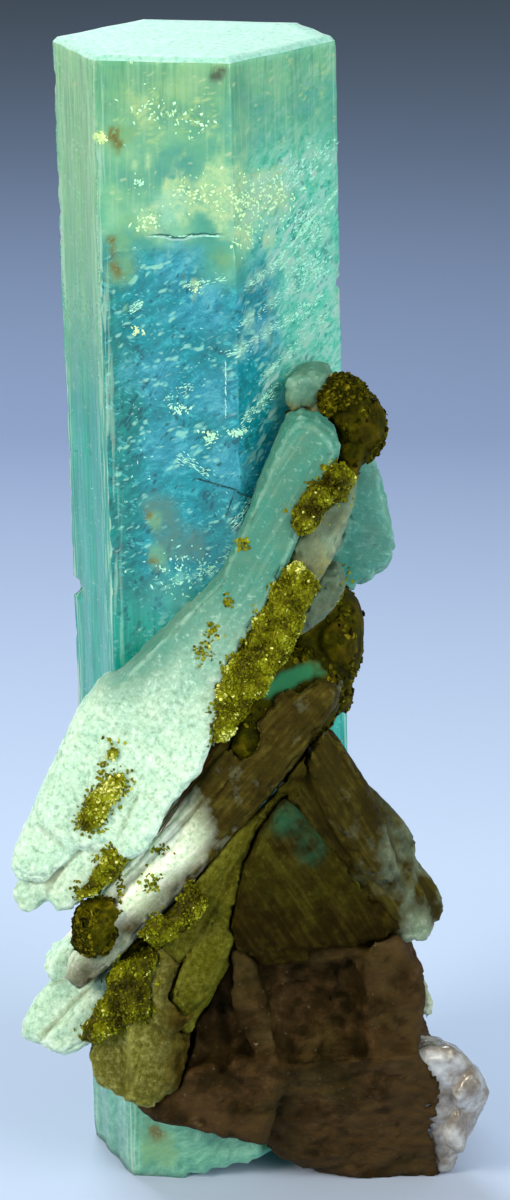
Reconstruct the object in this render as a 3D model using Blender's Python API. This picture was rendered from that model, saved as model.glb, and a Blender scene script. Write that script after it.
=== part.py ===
"""Aquamarine crystal on albite, mica and matrix.

One six-sided beryl prism stands on its broken foot. Pale albite blades cross it from upper
right to lower left, green mica crusts sit between the blades, and brown rock with hollows
holds the lower right. Run with: blender --background --python part.py

Work is done in millimetres, and each finished mesh is scaled to metres at the end.
Outlines are (x, z) points as the eye in front of the specimen sees them on the upright
plane through the prism. seen() carries each point along the line of sight to its own depth.
x runs to the right, y away from the viewer and z up.
"""

import math
import random

import bmesh
import bpy
import numpy as np
from mathutils import Vector, noise
from mathutils.geometry import delaunay_2d_cdt

MM = 0.001
GAP = 0.3                     # clearance that neighbouring pieces keep
EYE = Vector((0.0, -420.0, 180.4))
BASE_Z = 0.2                  # the level of the broken foot that the specimen rests on

# The beryl prism
PRISM_TOP_Z = 110.4
PRISM_FACES = (12.5, 15.9, 8.4, 15.2, 13.2, 11.1)   # front, front right, then round to front left
PRISM_TURN = -8.0             # degrees that the front face is turned
PRISM_TOP = (-5.8, 0.2)       # centre of the flat top, x and y
PRISM_FOOT = (-3.1, 0.2)      # centre of the foot
PRISM_FOOT_SCALE = 0.985      # the foot's size as a share of the top's
PRISM_RADIUS = 12.0           # about how far its corners stand from its axis
RIB = 0.16                    # height of the growth ribs on its side faces
TOP_BEVEL = 0.45
BEYOND = 3.0                  # how far a shape or a cutter runs past the surface that ends it

# name: sRGB colour, roughness
FINISHES = {
    "beryl": ((0.42, 0.78, 0.76), 0.18),
    "albite": ((0.76, 0.88, 0.80), 0.42),
    "albite_grey": ((0.50, 0.60, 0.52), 0.45),
    "albite_olive": ((0.42, 0.42, 0.24), 0.45),
    "mica": ((0.45, 0.47, 0.10), 0.55),
    "mica_dark": ((0.25, 0.23, 0.05), 0.50),
    "matrix": ((0.25, 0.19, 0.12), 0.75),
    "quartz": ((0.66, 0.66, 0.68), 0.30),
}


def clear_scene():
    for obj in list(bpy.data.objects):
        bpy.data.objects.remove(obj, do_unlink=True)


def linear(value):
    return value / 12.92 if value <= 0.04045 else ((value + 0.055) / 1.055) ** 2.4


def finish_material(node, finish):
    colour, roughness = FINISHES[finish]
    material = bpy.data.materials.new(node)
    material.use_nodes = True
    shader = material.node_tree.nodes["Principled BSDF"]
    shader.inputs["Base Color"].default_value = (*(linear(c) for c in colour), 1.0)
    shader.inputs["Roughness"].default_value = roughness
    shader.inputs["Metallic"].default_value = 0.0
    return material


def seen(x, z, y):
    """The point at depth y that the eye sees at (x, z) on the plane y = 0."""
    on_plane = Vector((x, 0.0, z))
    return EYE + (on_plane - EYE) * ((y - EYE.y) / -EYE.y)


# Shapes. A block is a convex solid, held as its corner points. A piece is blocks joined.

def slab(outline, depth, lean=(0.0, 0.0), thick=3.0, chamfer=0.5, back=(0.0, 0.0), shrink=1.0):
    """A flat crystal: its broad face is the outline, at depth in its middle.

    lean is how fast the face recedes to the right and upwards, in mm per mm. The body goes
    straight back by thick, moved by back and shrunk by shrink, and the front edge is chamfered.
    """
    middle = Vector((sum(p[0] for p in outline), sum(p[1] for p in outline))) / len(outline)
    points = []
    for x, z in outline:
        y = depth + lean[0] * (x - middle.x) + lean[1] * (z - middle.y)
        rim = seen(x, z, y + chamfer)
        toward = Vector((middle.x - x, middle.y - z))
        inward = toward * min(0.45, chamfer / max(toward.length, 0.01))
        points.append(rim)
        points.append(seen(x + inward.x, z + inward.y, y + lean[0] * inward.x + lean[1] * inward.y))
        centre = seen(middle.x, middle.y, depth)
        far = centre.lerp(rim, shrink)
        points.append(Vector((far.x + back[0], rim.y + thick, far.z + back[1])))
    return points


# A blade's outline with a chisel tip, as shares of its length and width
BOARD_OUTLINE = ((0.0, -0.42), (0.0, 0.42), (0.12, 0.5), (0.86, 0.5), (1.0, 0.12), (0.93, -0.4), (0.1, -0.5))


def board(foot, toward, face, length, width, thick):
    """A blade placed in space: foot is the middle of its blunt end, and it runs from there along toward."""
    along = Vector(toward).normalized()
    normal = Vector(face)
    normal = (normal - along * normal.dot(along)).normalized()
    across = along.cross(normal)
    points = []
    for reach, side in BOARD_OUTLINE:
        for depth, inset in ((0.5, 0.88), (0.36, 1.0), (-0.5, 0.94)):
            middle = Vector(foot) + along * length * (0.5 + (reach - 0.5) * (0.97 if inset < 0.9 else 1.0))
            points.append(middle + across * width * side * inset + normal * thick * depth)
    return points


def lump(x, z, y, radii, seed, corners=26):
    """A boulder whose middle the eye sees at (x, z)."""
    return boulder(seen(x, z, y), radii, seed, corners)


def boulder(centre, radii, seed, corners):
    """A faceted boulder: corners spread over an ellipsoid by the golden angle, and jittered."""
    rng = random.Random(seed)
    centre = Vector(centre)
    points = []
    for i in range(corners):
        height = 1.0 - 2.0 * (i + 0.5) / corners
        ring = math.sqrt(1.0 - height * height)
        angle = i * math.radians(137.5) + rng.uniform(-0.25, 0.25)
        reach = rng.uniform(0.86, 1.06)
        on_ball = (ring * math.cos(angle), ring * math.sin(angle), height)
        offset = Vector([share * radius for share, radius in zip(on_ball, radii)])
        points.append(centre + offset * reach)
    return points


def hull_mesh(points):
    bm = bmesh.new()
    for point in points:
        bm.verts.new(point)
    bmesh.ops.remove_doubles(bm, verts=bm.verts, dist=0.02)
    result = bmesh.ops.convex_hull(bm, input=bm.verts)
    inside = {e for e in result["geom_interior"] + result["geom_unused"] if isinstance(e, bmesh.types.BMVert)}
    bmesh.ops.delete(bm, geom=list(inside), context="VERTS")
    bmesh.ops.dissolve_limit(bm, angle_limit=math.radians(0.5), verts=bm.verts, edges=bm.edges)
    bmesh.ops.recalc_face_normals(bm, faces=bm.faces)
    return bm


def grown(points, gap=GAP):
    """The corner points of a block made larger by gap on every face."""
    bm = hull_mesh(points)
    bm.normal_update()
    moved = []
    for vert in bm.verts:
        normals = np.array([face.normal for face in vert.link_faces])
        shift = np.linalg.lstsq(normals, np.full(len(normals), gap), rcond=0.05)[0]
        length = float(np.linalg.norm(shift))
        if length > 3.0 * gap:
            shift *= 3.0 * gap / length
        moved.append(vert.co + Vector(shift))
    bm.free()
    return moved


def add_object(name, bm, hidden=False):
    mesh = bpy.data.meshes.new(name)
    bm.to_mesh(mesh)
    bm.free()
    obj = bpy.data.objects.new(name, mesh)
    bpy.context.scene.collection.objects.link(obj)
    if hidden:
        obj.hide_render = True
        obj.display_type = "WIRE"
    return obj


def box_of(points):
    low = Vector([min(p[i] for p in points) for i in range(3)])
    high = Vector([max(p[i] for p in points) for i in range(3)])
    return low, high


def boxes_meet(a, b):
    return all(a[0][i] <= b[1][i] and b[0][i] <= a[1][i] for i in range(3))


def combine(obj, tools, operation):
    """Joins the tool meshes to obj, or takes them away from it, and applies the result."""
    if not tools:
        return
    group = bpy.data.collections.new("tools")
    bpy.context.scene.collection.children.link(group)
    for bm in tools:
        tool = add_object("tool", bm, hidden=True)
        bpy.context.scene.collection.objects.unlink(tool)
        group.objects.link(tool)
    modifier = obj.modifiers.new("combine", "BOOLEAN")
    modifier.operation = operation
    modifier.operand_type = "COLLECTION"
    modifier.collection = group
    modifier.solver = "EXACT"
    evaluated = obj.evaluated_get(bpy.context.evaluated_depsgraph_get())
    mesh = bpy.data.meshes.new_from_object(evaluated)
    obj.modifiers.clear()
    old = obj.data
    obj.data = mesh
    bpy.data.meshes.remove(old)
    for tool in list(group.objects):
        data = tool.data
        bpy.data.objects.remove(tool, do_unlink=True)
        bpy.data.meshes.remove(data)
    bpy.data.collections.remove(group)


def box_volume(verts):
    low, high = box_of([vert.co for vert in verts])
    size = high - low
    return size.x * size.y * size.z


def keep_largest_body(bm):
    left = set(bm.verts)
    bodies = []
    while left:
        stack = [left.pop()]
        body = set(stack)
        while stack:
            for edge in stack.pop().link_edges:
                for vert in edge.verts:
                    if vert in left:
                        left.remove(vert)
                        body.add(vert)
                        stack.append(vert)
        bodies.append(body)
    bodies.sort(key=box_volume, reverse=True)
    for body in bodies[1:]:
        bmesh.ops.delete(bm, geom=list(body), context="VERTS")


def remove_fins(bm):
    """Takes away faces that lie back to back on the same three corners and so enclose nothing."""
    sharing = {}
    for face in bm.faces:
        sharing.setdefault(frozenset(face.verts), []).append(face)
    fins = [face for faces in sharing.values() if len(faces) > 1 for face in faces]
    bmesh.ops.delete(bm, geom=fins, context="FACES")


def tidy_mesh(obj):
    bm = bmesh.new()
    bm.from_mesh(obj.data)
    bmesh.ops.remove_doubles(bm, verts=bm.verts, dist=0.004)
    bmesh.ops.dissolve_degenerate(bm, edges=bm.edges, dist=0.004)
    bmesh.ops.dissolve_limit(bm, angle_limit=math.radians(0.6), verts=bm.verts, edges=bm.edges)
    keep_largest_body(bm)
    bmesh.ops.triangulate(bm, faces=bm.faces)
    remove_fins(bm)
    bm.to_mesh(obj.data)
    bm.free()


class Specimen:
    """Keeps the pieces in the order they are made. Each new one is cut clear of those before it."""

    def __init__(self):
        self.taken = []
        self.objects = []

    def cut_clear(self, obj, points):
        mine = box_of(points)
        tools = [hull_mesh(block) for block, box in self.taken if boxes_meet(mine, box)]
        combine(obj, tools, "DIFFERENCE")

    def finish(self, obj, node, finish):
        tidy_mesh(obj)
        obj.data.name = node
        obj.data.materials.clear()
        obj.data.materials.append(finish_material(node, finish))
        self.objects.append(obj)

    def add(self, node, finish, blocks, hollows=()):
        obj = add_object(node, hull_mesh(blocks[0]))
        combine(obj, [hull_mesh(block) for block in blocks[1:]], "UNION")
        combine(obj, [hull_mesh(block) for block in hollows], "DIFFERENCE")
        combine(obj, [below_base()], "DIFFERENCE")
        self.cut_clear(obj, [point for block in blocks for point in block])
        self.finish(obj, node, finish)
        for block in blocks:
            larger = grown(block)
            self.taken.append((larger, box_of(larger)))

    def add_crust(self, node, finish, bm):
        points = [vert.co.copy() for vert in bm.verts]
        obj = add_object(node, bm)
        combine(obj, [below_base()], "DIFFERENCE")
        self.cut_clear(obj, points)
        self.finish(obj, node, finish)
        larger = grown(points, 0.15)
        self.taken.append((larger, box_of(larger)))


def below_base():
    """A wide cutter whose top is level with the foot."""
    corners = [(x, y, z) for x in (-60, 60) for y in (-60, 60) for z in (-30, BASE_Z)]
    return hull_mesh([Vector(c) for c in corners])


# The aquamarine crystal

def prism_corners():
    """The six corners of the cross-section, counter-clockwise from the left end of the front face."""
    corners = [Vector((0.0, 0.0))]
    for side, width in enumerate(PRISM_FACES[:-1]):
        angle = math.radians(PRISM_TURN + 60.0 * side)
        corners.append(corners[-1] + Vector((math.cos(angle), math.sin(angle))) * width)
    middle = sum(corners, Vector((0.0, 0.0))) / 6
    return [corner - middle for corner in corners]


def prism_section():
    """The cross-section with low growth ribs along its faces."""
    rng = random.Random(11)
    corners = prism_corners()
    section = []
    for side, corner in enumerate(corners):
        ahead = corners[(side + 1) % 6]
        outward = Vector(((ahead - corner).y, -(ahead - corner).x)).normalized()
        section.append(corner)
        ribs = 4 if side == 5 else 3
        for rib in range(ribs):
            share = (rib + rng.uniform(0.7, 1.3)) / (ribs + 1)
            height = RIB if rib % 2 else -RIB
            section.append(corner.lerp(ahead, share) + outward * height * rng.uniform(0.4, 1.0))
    return section


def prism_centre(z):
    share = (z - BASE_Z) / (PRISM_TOP_Z - BASE_Z)
    top, foot = Vector(PRISM_TOP), Vector(PRISM_FOOT)
    return foot.lerp(top, share), PRISM_FOOT_SCALE + (1.0 - PRISM_FOOT_SCALE) * share


def prism_ring(bm, z, inset=0.0):
    centre, scale = prism_centre(z)
    ring = []
    for point in prism_section():
        flat = centre + point * scale * (1.0 - inset / PRISM_RADIUS)
        ring.append(bm.verts.new((flat.x, flat.y, z)))
    return ring


def prism_mesh():
    bm = bmesh.new()
    levels = [(BASE_Z - BEYOND, 0.0), (35.0, 0.0), (72.0, 0.0), (PRISM_TOP_Z - TOP_BEVEL, 0.0),
              (PRISM_TOP_Z, TOP_BEVEL)]
    rings = [prism_ring(bm, z, inset) for z, inset in levels]
    for low, high in zip(rings, rings[1:]):
        for i in range(len(low)):
            j = (i + 1) % len(low)
            bm.faces.new((low[i], low[j], high[j], high[i]))
    bm.faces.new(rings[-1])
    bm.faces.new(list(reversed(rings[0])))
    bmesh.ops.recalc_face_normals(bm, faces=bm.faces)
    return bm


def prism_block():
    points = []
    for z in (BASE_Z - BEYOND, PRISM_TOP_Z):
        centre, scale = prism_centre(z)
        for corner in prism_corners():
            flat = centre + corner * scale
            points.append(Vector((flat.x, flat.y, z)))
    return points


def prism_edge(z, corner):
    """The point at height z on one of its long edges, counted from the front face's left end."""
    centre, scale = prism_centre(z)
    flat = centre + prism_corners()[corner] * scale
    return Vector((flat.x, flat.y, z))


def wedge(place, wide, high, deep, turn):
    """A cutter with a sharp inner edge, pointing along turn degrees from +x."""
    ahead = Vector((math.cos(math.radians(turn)), math.sin(math.radians(turn)), 0.0))
    across = Vector((-ahead.y, ahead.x, 0.0))
    points = []
    for side in (-0.5, 0.5):
        points.append(place + ahead * deep + across * wide * side)
        points.append(place - ahead * BEYOND + across * wide * side + Vector((0, 0, high)))
        points.append(place - ahead * BEYOND + across * wide * side - Vector((0, 0, high * 0.7)))
    return points


def prism_cuts():
    """The chips and ledges that break its edges, and the rough break at its foot."""
    notch = wedge(prism_edge(57.2, 5), wide=9.0, high=4.2, deep=1.0, turn=12.0)
    nick = wedge(prism_edge(86.8, 2), wide=8.0, high=3.4, deep=0.6, turn=185.0)
    chip = [Vector((x, y, BASE_Z + z)) for x, y, z in (
        (-10.5, -16.0, -4.0), (3.9, 8.0, -4.0), (14.0, 8.0, -4.0), (14.0, -16.0, -4.0),
        (-10.5, -16.0, 0.0), (3.9, 8.0, 0.0), (14.0, 8.0, 2.9), (14.0, -16.0, 7.1))]
    return [notch, nick, chip]


def add_aquamarine(specimen):
    obj = add_object("aquamarine_crystal", prism_mesh())
    combine(obj, [hull_mesh(cut) for cut in prism_cuts()] + [below_base()], "DIFFERENCE")
    specimen.finish(obj, "aquamarine_crystal", "beryl")
    larger = grown(prism_block(), GAP + RIB)
    specimen.taken.append((larger, box_of(larger)))


# The albite blades

FRONT_LEAN = (-0.15, 0.2)     # the front blade faces a little left and up
FRONT_MID = (-6.0, 48.0, -16.2)


def front_depth(outline, step=0.0):
    """The depth of the front blade's plane in the middle of an outline, and step behind it."""
    x = sum(p[0] for p in outline) / len(outline)
    z = sum(p[1] for p in outline) / len(outline)
    return FRONT_MID[2] + FRONT_LEAN[0] * (x - FRONT_MID[0]) + FRONT_LEAN[1] * (z - FRONT_MID[1]) + step


def front_slab(outline, step=0.0, thick=3.0, chamfer=0.5, **more):
    return slab(outline, front_depth(outline, step), FRONT_LEAN, thick, chamfer, **more)


def add_front_blades(specimen):
    upper = [(3.1, 73.5), (4.3, 74.2), (6.0, 73.8), (7.5, 72.5), (8.1, 71.1), (7.8, 69.7), (4.3, 63.0),
             (-0.5, 54.5), (-4.2, 56.0), (0.6, 66.5)]
    middle = [(-1.2, 60.5), (4.4, 63.2), (2.6, 58.4), (-2.5, 49.4), (-6.4, 41.5), (-12.4, 44.0),
              (-12.9, 48.0), (-10.1, 50.8), (-4.8, 55.9)]
    broad = [(-12.9, 48.0), (-14.6, 47.6), (-17.2, 44.1), (-20.0, 37.4), (-21.9, 33.6), (-18.5, 30.6),
             (-12.5, 30.4), (-8.8, 34.3), (-5.3, 38.6), (-2.6, 45.5), (-6.0, 50.0)]
    end_left = [(-14.1, 39.5), (-20.2, 36.8), (-21.9, 33.6), (-23.8, 29.0), (-23.2, 27.4), (-20.6, 27.2),
                (-16.1, 31.6)]
    end_low = [(-15.6, 36.0), (-20.5, 30.0), (-23.8, 26.0), (-23.3, 24.5), (-22.3, 23.8), (-21.2, 24.3),
               (-15.1, 30.2)]
    end_middle = [(-13.7, 34.4), (-18.1, 29.4), (-20.6, 25.5), (-19.4, 24.2), (-17.7, 24.4),
                  (-15.7, 26.4), (-13.6, 29.3), (-12.6, 31.6)]
    end_right = [(-11.0, 36.5), (-13.6, 30.9), (-13.0, 29.5), (-11.7, 29.5), (-10.5, 30.7), (-8.8, 34.1)]
    step_left = [(-9.5, 51.2), (-13.6, 47.9), (-16.8, 44.7), (-18.4, 41.0), (-15.0, 42.5), (-10.0, 47.0)]
    specimen.add("albite_blade_front", "albite", [
        front_slab(broad, 0.0, 3.4, 0.6),
        front_slab(middle, 0.18, 3.6, 0.8),
        front_slab(upper, 0.24, 3.4, 0.9),
        front_slab(end_left, 0.5, 2.6, 0.4),
        front_slab(end_low, 1.5, 2.4, 0.4),
        front_slab(end_middle, 0.7, 3.0, 0.5),
        front_slab(end_right, -0.5, 3.2, 0.5),
        front_slab(step_left, 1.1, 2.4, 0.4),
    ])
    outer = [(6.3, 68.9), (7.9, 69.5), (8.9, 68.9), (9.7, 67.7), (9.5, 65.5), (8.7, 63.0), (7.8, 60.7),
             (6.6, 58.6), (3.0, 57.0), (2.4, 61.5)]
    inner = [(2.4, 62.5), (7.2, 59.6), (3.4, 53.5), (-1.9, 43.9), (-4.6, 40.4), (-6.8, 41.5), (-2.0, 52.0)]
    backing = [(5.0, 71.5), (9.2, 67.0), (8.2, 61.5), (4.5, 56.0), (0.0, 51.0), (-1.5, 57.0), (2.6, 68.5)]
    specimen.add("albite_blade_behind_front", "albite", [
        front_slab(outer, 1.9, 2.4, 0.5),
        front_slab(inner, 1.6, 2.8, 0.5),
        slab(backing, -10.6, (0.3, 0.1), 9.0, 0.5),
    ])


def add_right_upper_blades(specimen):
    tip = [(4.2, 78.2), (5.6, 78.5), (6.9, 78.1), (7.4, 76.8), (6.8, 75.0), (5.4, 73.6), (3.2, 74.4),
           (2.9, 76.6), (3.2, 77.6)]
    specimen.add("albite_tip_upper", "albite", [slab(tip, -8.2, (0.5, 0.1), 5.5, 0.6)])
    fan = [(10.0, 70.6), (11.3, 69.9), (11.9, 67.9), (12.6, 65.5), (13.35, 62.0), (13.5, 60.5),
           (12.6, 59.0), (11.0, 57.9), (9.6, 57.1), (8.5, 57.0), (7.0, 58.9), (6.4, 64.0), (7.5, 69.0)]
    fan_back = [(8.6, 69.0), (11.0, 68.4), (12.3, 62.4), (11.4, 59.2), (8.2, 58.2), (5.6, 60.0),
                (6.0, 66.0)]
    specimen.add("albite_fan_right", "albite_grey", [
        slab(fan, -5.4, (0.25, 0.05), 1.7, 0.3),
        slab(fan_back, -4.0, (0.3, 0.05), 3.2, 0.3, back=(-1.0, 0.0), shrink=0.85),
    ])


def add_small_right_blade(specimen):
    stub = [(6.5, 58.2), (8.0, 58.5), (8.6, 57.0), (8.0, 55.7), (5.4, 56.2)]
    small = [(8.5, 56.8), (8.0, 55.6), (5.8, 53.6), (3.6, 52.1), (3.0, 52.4), (3.2, 53.8), (4.5, 55.6),
             (6.6, 57.4)]
    specimen.add("albite_blade_small_right", "albite_grey", [
        slab(small, -14.4, (0.2, 0.1), 3.6, 0.4),
        slab(stub, -13.0, (0.2, 0.1), 5.4, 0.4),
    ])


def add_left_blades(specimen):
    top = [(0.4, 46.4), (-2.0, 43.0), (-4.3, 40.8), (-9.3, 32.8), (-12.4, 28.6), (-14.5, 27.3),
           (-16.0, 25.6), (-14.8, 23.6), (-9.6, 29.0), (-5.0, 35.0), (-0.6, 41.4), (2.0, 45.2)]
    middle = [(2.8, 47.2), (-0.6, 42.6), (-5.4, 35.9), (-10.0, 30.0), (-15.6, 24.6), (-17.5, 22.9),
              (-18.6, 21.6), (-17.0, 18.9), (-13.2, 21.6), (-8.4, 27.2), (-3.8, 33.0), (1.0, 39.3),
              (5.2, 46.0)]
    low = [(8.1, 47.4), (5.6, 47.8), (1.2, 41.5), (-4.0, 33.9), (-9.0, 27.6), (-14.6, 21.0),
           (-18.0, 19.7), (-19.0, 18.4), (-18.8, 17.1), (-17.3, 15.9), (-14.3, 18.4), (-11.3, 21.8),
           (-6.9, 26.4), (-2.9, 32.1), (3.4, 38.6), (6.0, 42.4), (7.6, 45.2)]
    specimen.add("albite_blades_lower_left", "albite_grey", [
        slab(top, -15.6, (-0.10, 0.12), 4.5, 0.5, back=(1.2, -1.2)),
        slab(middle, -16.9, (-0.06, 0.10), 5.5, 0.6, back=(1.2, -1.2)),
        slab(low, -17.7, (0.02, 0.05), 6.5, 0.6, back=(1.2, -1.0)),
    ])
    sprig = [(-18.2, 20.8), (-20.2, 19.3), (-20.8, 18.2), (-20.2, 17.1), (-19.0, 16.6), (-16.4, 17.0),
             (-16.2, 20.0)]
    specimen.add("albite_sprig_left", "albite", [slab(sprig, -13.4, (0.0, 0.1), 3.4, 0.4)])
    upper = [(-17.0, 18.4), (-19.2, 17.3), (-20.7, 15.9), (-22.4, 14.0), (-23.4, 11.6), (-23.1, 10.3),
             (-21.3, 9.9), (-19.0, 11.4), (-13.8, 16.6)]
    lower = [(-11.8, 19.2), (-14.1, 18.3), (-15.8, 16.4), (-19.3, 12.7), (-21.5, 10.2), (-20.3, 9.2),
             (-18.7, 8.8), (-17.1, 9.5), (-15.7, 11.4), (-12.8, 14.6), (-10.6, 17.5)]
    specimen.add("albite_pair_left", "albite", [
        slab(upper, -14.8, (-0.1, 0.15), 3.8, 0.5, back=(1.5, 0.5)),
        slab(lower, -16.4, (-0.1, 0.15), 4.8, 0.6, back=(1.5, 0.3)),
    ])


def add_middle_blades(specimen):
    plate = [(2.9, 35.4), (4.4, 34.1), (7.3, 29.2), (9.0, 26.6), (14.4, 22.3), (11.3, 20.6), (-1.0, 19.8),
             (-2.3, 22.2), (-1.0, 28.4), (0.7, 32.2)]
    ledge = [(-1.6, 24.0), (5.4, 24.5), (5.1, 18.9), (1.0, 18.5), (-1.8, 20.3)]
    specimen.add("albite_plate_middle", "albite_olive", [
        slab(plate, -17.0, (0.22, -0.06), 6.0, 0.5),
        slab(ledge, -17.0, (0.22, -0.06), 5.0, 0.4),
    ])
    upper = [(5.4, 42.2), (3.2, 39.4), (-2.5, 31.8), (-6.9, 26.2), (-11.4, 21.4), (-9.9, 20.0),
             (-5.4, 24.4), (-0.4, 30.8), (5.2, 39.0)]
    middle = [(6.2, 42.4), (3.4, 37.6), (-1.8, 29.9), (-6.2, 24.2), (-9.2, 20.8), (-7.6, 18.8),
              (-3.8, 23.0), (0.2, 29.0), (4.6, 36.4), (6.8, 41.4)]
    lower = [(5.4, 39.2), (2.6, 35.4), (-1.0, 29.0), (-3.6, 24.0), (-7.0, 18.4), (-8.4, 15.0),
             (-6.8, 13.2), (-4.4, 15.6), (-2.4, 21.0), (-0.8, 27.6), (2.9, 35.0)]
    foot = [(-6.6, 19.0), (-3.2, 21.4), (-2.6, 18.6), (-4.6, 14.6), (-6.4, 11.4), (-8.4, 11.6),
            (-8.8, 15.0)]
    specimen.add("albite_blades_shaded", "albite_olive", [
        slab(upper, -17.0, (0.05, 0.02), 5.0, 0.6, back=(0.8, -0.6)),
        slab(middle, -16.5, (0.10, 0.02), 5.5, 0.6, back=(0.8, -0.6)),
        slab(lower, -17.2, (0.12, 0.0), 5.5, 0.5, back=(0.8, -0.4)),
        slab(foot, -16.6, (0.1, 0.02), 4.0, 0.5),
    ])


def add_right_blades(specimen):
    long = [(4.9, 42.5), (6.3, 43.7), (8.1, 42.0), (10.7, 37.6), (12.4, 33.8), (13.7, 29.7), (14.0, 27.6),
            (13.0, 26.7), (10.8, 28.2), (8.6, 31.2), (6.0, 35.8), (5.2, 38.4)]
    outer = [(9.6, 37.8), (11.0, 37.0), (12.7, 35.4), (14.1, 33.8), (15.7, 31.4), (15.5, 29.5),
             (14.6, 28.4), (12.0, 30.0)]
    tip = [(13.6, 31.0), (14.7, 30.6), (15.6, 29.6), (16.8, 28.2), (17.8, 26.7), (18.6, 24.5),
           (18.2, 23.0), (17.3, 22.8), (15.6, 24.4)]
    shade = [(8.6, 29.8), (11.5, 28.4), (15.4, 28.8), (16.9, 25.5), (17.8, 22.8), (17.0, 21.2),
             (15.4, 21.8), (14.5, 20.9), (12.8, 21.6), (10.4, 24.2)]
    band = [(4.2, 42.0), (5.6, 38.4), (9.0, 31.0), (13.0, 27.2), (14.4, 23.6), (11.5, 23.6), (7.3, 28.8),
            (4.2, 34.0), (2.9, 36.0)]
    specimen.add("albite_blades_right", "albite_grey", [
        slab(long, -15.6, (0.25, 0.02), 4.0, 0.7, back=(-0.6, -0.5)),
        slab(outer, -12.4, (0.35, 0.05), 5.0, 0.6, back=(-1.0, -0.5)),
        slab(tip, -11.6, (0.4, 0.05), 4.5, 0.5, back=(-1.5, -0.3)),
        slab(shade, -13.4, (0.3, 0.0), 6.0, 0.5, back=(-1.5, 0.0)),
        slab(band, -14.6, (0.25, 0.02), 6.5, 0.5, back=(-0.5, 0.0)),
    ])


def add_low_plates(specimen):
    left = [(-12.2, 12.8), (-15.3, 10.9), (-16.7, 10.0), (-16.6, 7.9), (-15.8, 6.0), (-14.2, 5.0),
            (-12.4, 4.2)]
    right = [(-12.8, 12.6), (-10.4, 13.2), (-7.6, 12.2), (-6.4, 10.8), (-6.7, 8.4), (-7.8, 5.5),
             (-9.9, 3.4), (-11.6, 3.5), (-12.9, 4.2)]
    upper = [(-9.6, 20.8), (-6.9, 21.9), (-4.5, 20.4), (-5.0, 15.7), (-6.4, 12.2), (-8.4, 10.8),
             (-10.6, 12.4), (-10.9, 16.4)]
    corner = [(-15.0, 15.2), (-10.4, 17.5), (-9.8, 12.4), (-13.0, 10.6), (-16.4, 10.8)]
    specimen.add("albite_plates_low", "albite_olive", [
        slab(right, -17.4, (0.15, 0.0), 4.6, 0.6),
        slab(left, -16.6, (-0.25, 0.0), 4.2, 0.6, back=(1.0, 0.0)),
        slab(upper, -17.6, (0.05, 0.08), 5.0, 0.6),
        slab(corner, -16.4, (0.0, 0.15), 4.2, 0.5),
    ])


# The rock, the quartz and the unseen back

def add_quartz(specimen):
    outer = [(15.6, 8.8), (17.2, 9.4), (19.3, 9.7), (21.5, 8.3), (22.6, 6.5), (23.3, 5.0), (22.2, 2.4),
             (20.9, -0.2), (19.6, -3.4), (18.4, -3.6), (17.0, 1.0)]
    specimen.add("quartz_tip", "quartz", [
        slab(outer, -12.6, (0.25, -0.35), 5.5, 1.0, back=(-1.0, 0.0), shrink=0.85),
        lump(20.8, 6.0, -12.0, (2.3, 2.6, 2.4), seed=71, corners=13),
        lump(18.4, 8.2, -11.0, (2.6, 3.2, 1.7), seed=72, corners=12),
        lump(19.8, 1.6, -10.6, (1.8, 3.0, 3.4), seed=73, corners=13),
    ])


def add_matrix(specimen):
    base = [(-3.4, 8.6), (2.5, 8.6), (7.4, 8.9), (16.3, 9.3), (18.6, 6.3), (18.9, 3.1), (18.2, -0.1),
            (18.6, -5.0), (9.0, -4.6), (4.0, -2.3), (0.7, -1.3), (-3.0, 0.5)]
    base_left = [(-12.6, 5.2), (-11.4, 3.4), (-9.0, 1.6), (-6.0, 1.4), (-3.0, 0.6), (1.0, -0.9),
                 (3.0, 6.0), (-1.0, 8.8), (-7.4, 7.4)]
    column = [(10.8, 21.6), (14.3, 21.2), (14.7, 19.6), (14.5, 18.4), (16.1, 17.2), (16.7, 16.3),
              (16.5, 14.0), (15.9, 12.2), (16.3, 8.8), (14.4, 5.8), (10.9, 7.4), (10.3, 14.8)]
    wall = [(-6.0, 22.0), (12.0, 23.0), (12.5, 4.0), (-9.0, 4.0), (-9.0, 14.0)]
    ridge = [(-2.2, 20.5), (-0.6, 19.5), (1.6, 13.0), (2.6, 8.0), (0.6, 7.4), (-1.8, 13.0)]
    behind = [(8.0, 25.0), (13.6, 24.0), (16.0, 12.0), (17.6, 4.0), (16.8, -3.8), (6.0, -3.8), (4.0, 12.0)]
    hollows = [
        lump(5.2, 14.0, -15.6, (4.6, 3.4, 4.6), seed=5, corners=22),
        lump(8.6, 15.6, -15.4, (2.4, 3.2, 3.8), seed=6, corners=18),
        lump(4.0, 9.4, -16.4, (2.2, 2.4, 1.9), seed=7, corners=16),
        lump(-3.2, 11.2, -16.6, (1.7, 3.0, 5.2), seed=8, corners=18),
    ]
    specimen.add("matrix_rock", "matrix", [
        slab(base, -13.6, (0.03, -0.55), 20.0, 1.0, back=(-1.0, 0.0), shrink=0.94),
        slab(base_left, -16.0, (0.0, -0.2), 5.0, 0.8),
        slab(column, -15.2, (0.12, 0.0), 14.0, 0.8, back=(-1.0, 0.0), shrink=0.92),
        slab(wall, -14.4, (0.0, 0.0), 12.0, 0.8),
        slab(ridge, -16.6, (0.1, 0.0), 4.0, 0.7),
        slab(behind, -9.0, (0.2, 0.0), 16.0, 1.0, back=(-1.5, 0.0), shrink=0.85),
        boulder((8.5, 9.0, 4.5), (7.0, 5.5, 7.0), seed=21, corners=26),
        boulder((0.0, 12.0, 2.5), (6.5, 4.0, 6.0), seed=22, corners=24),
    ], hollows)


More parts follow.
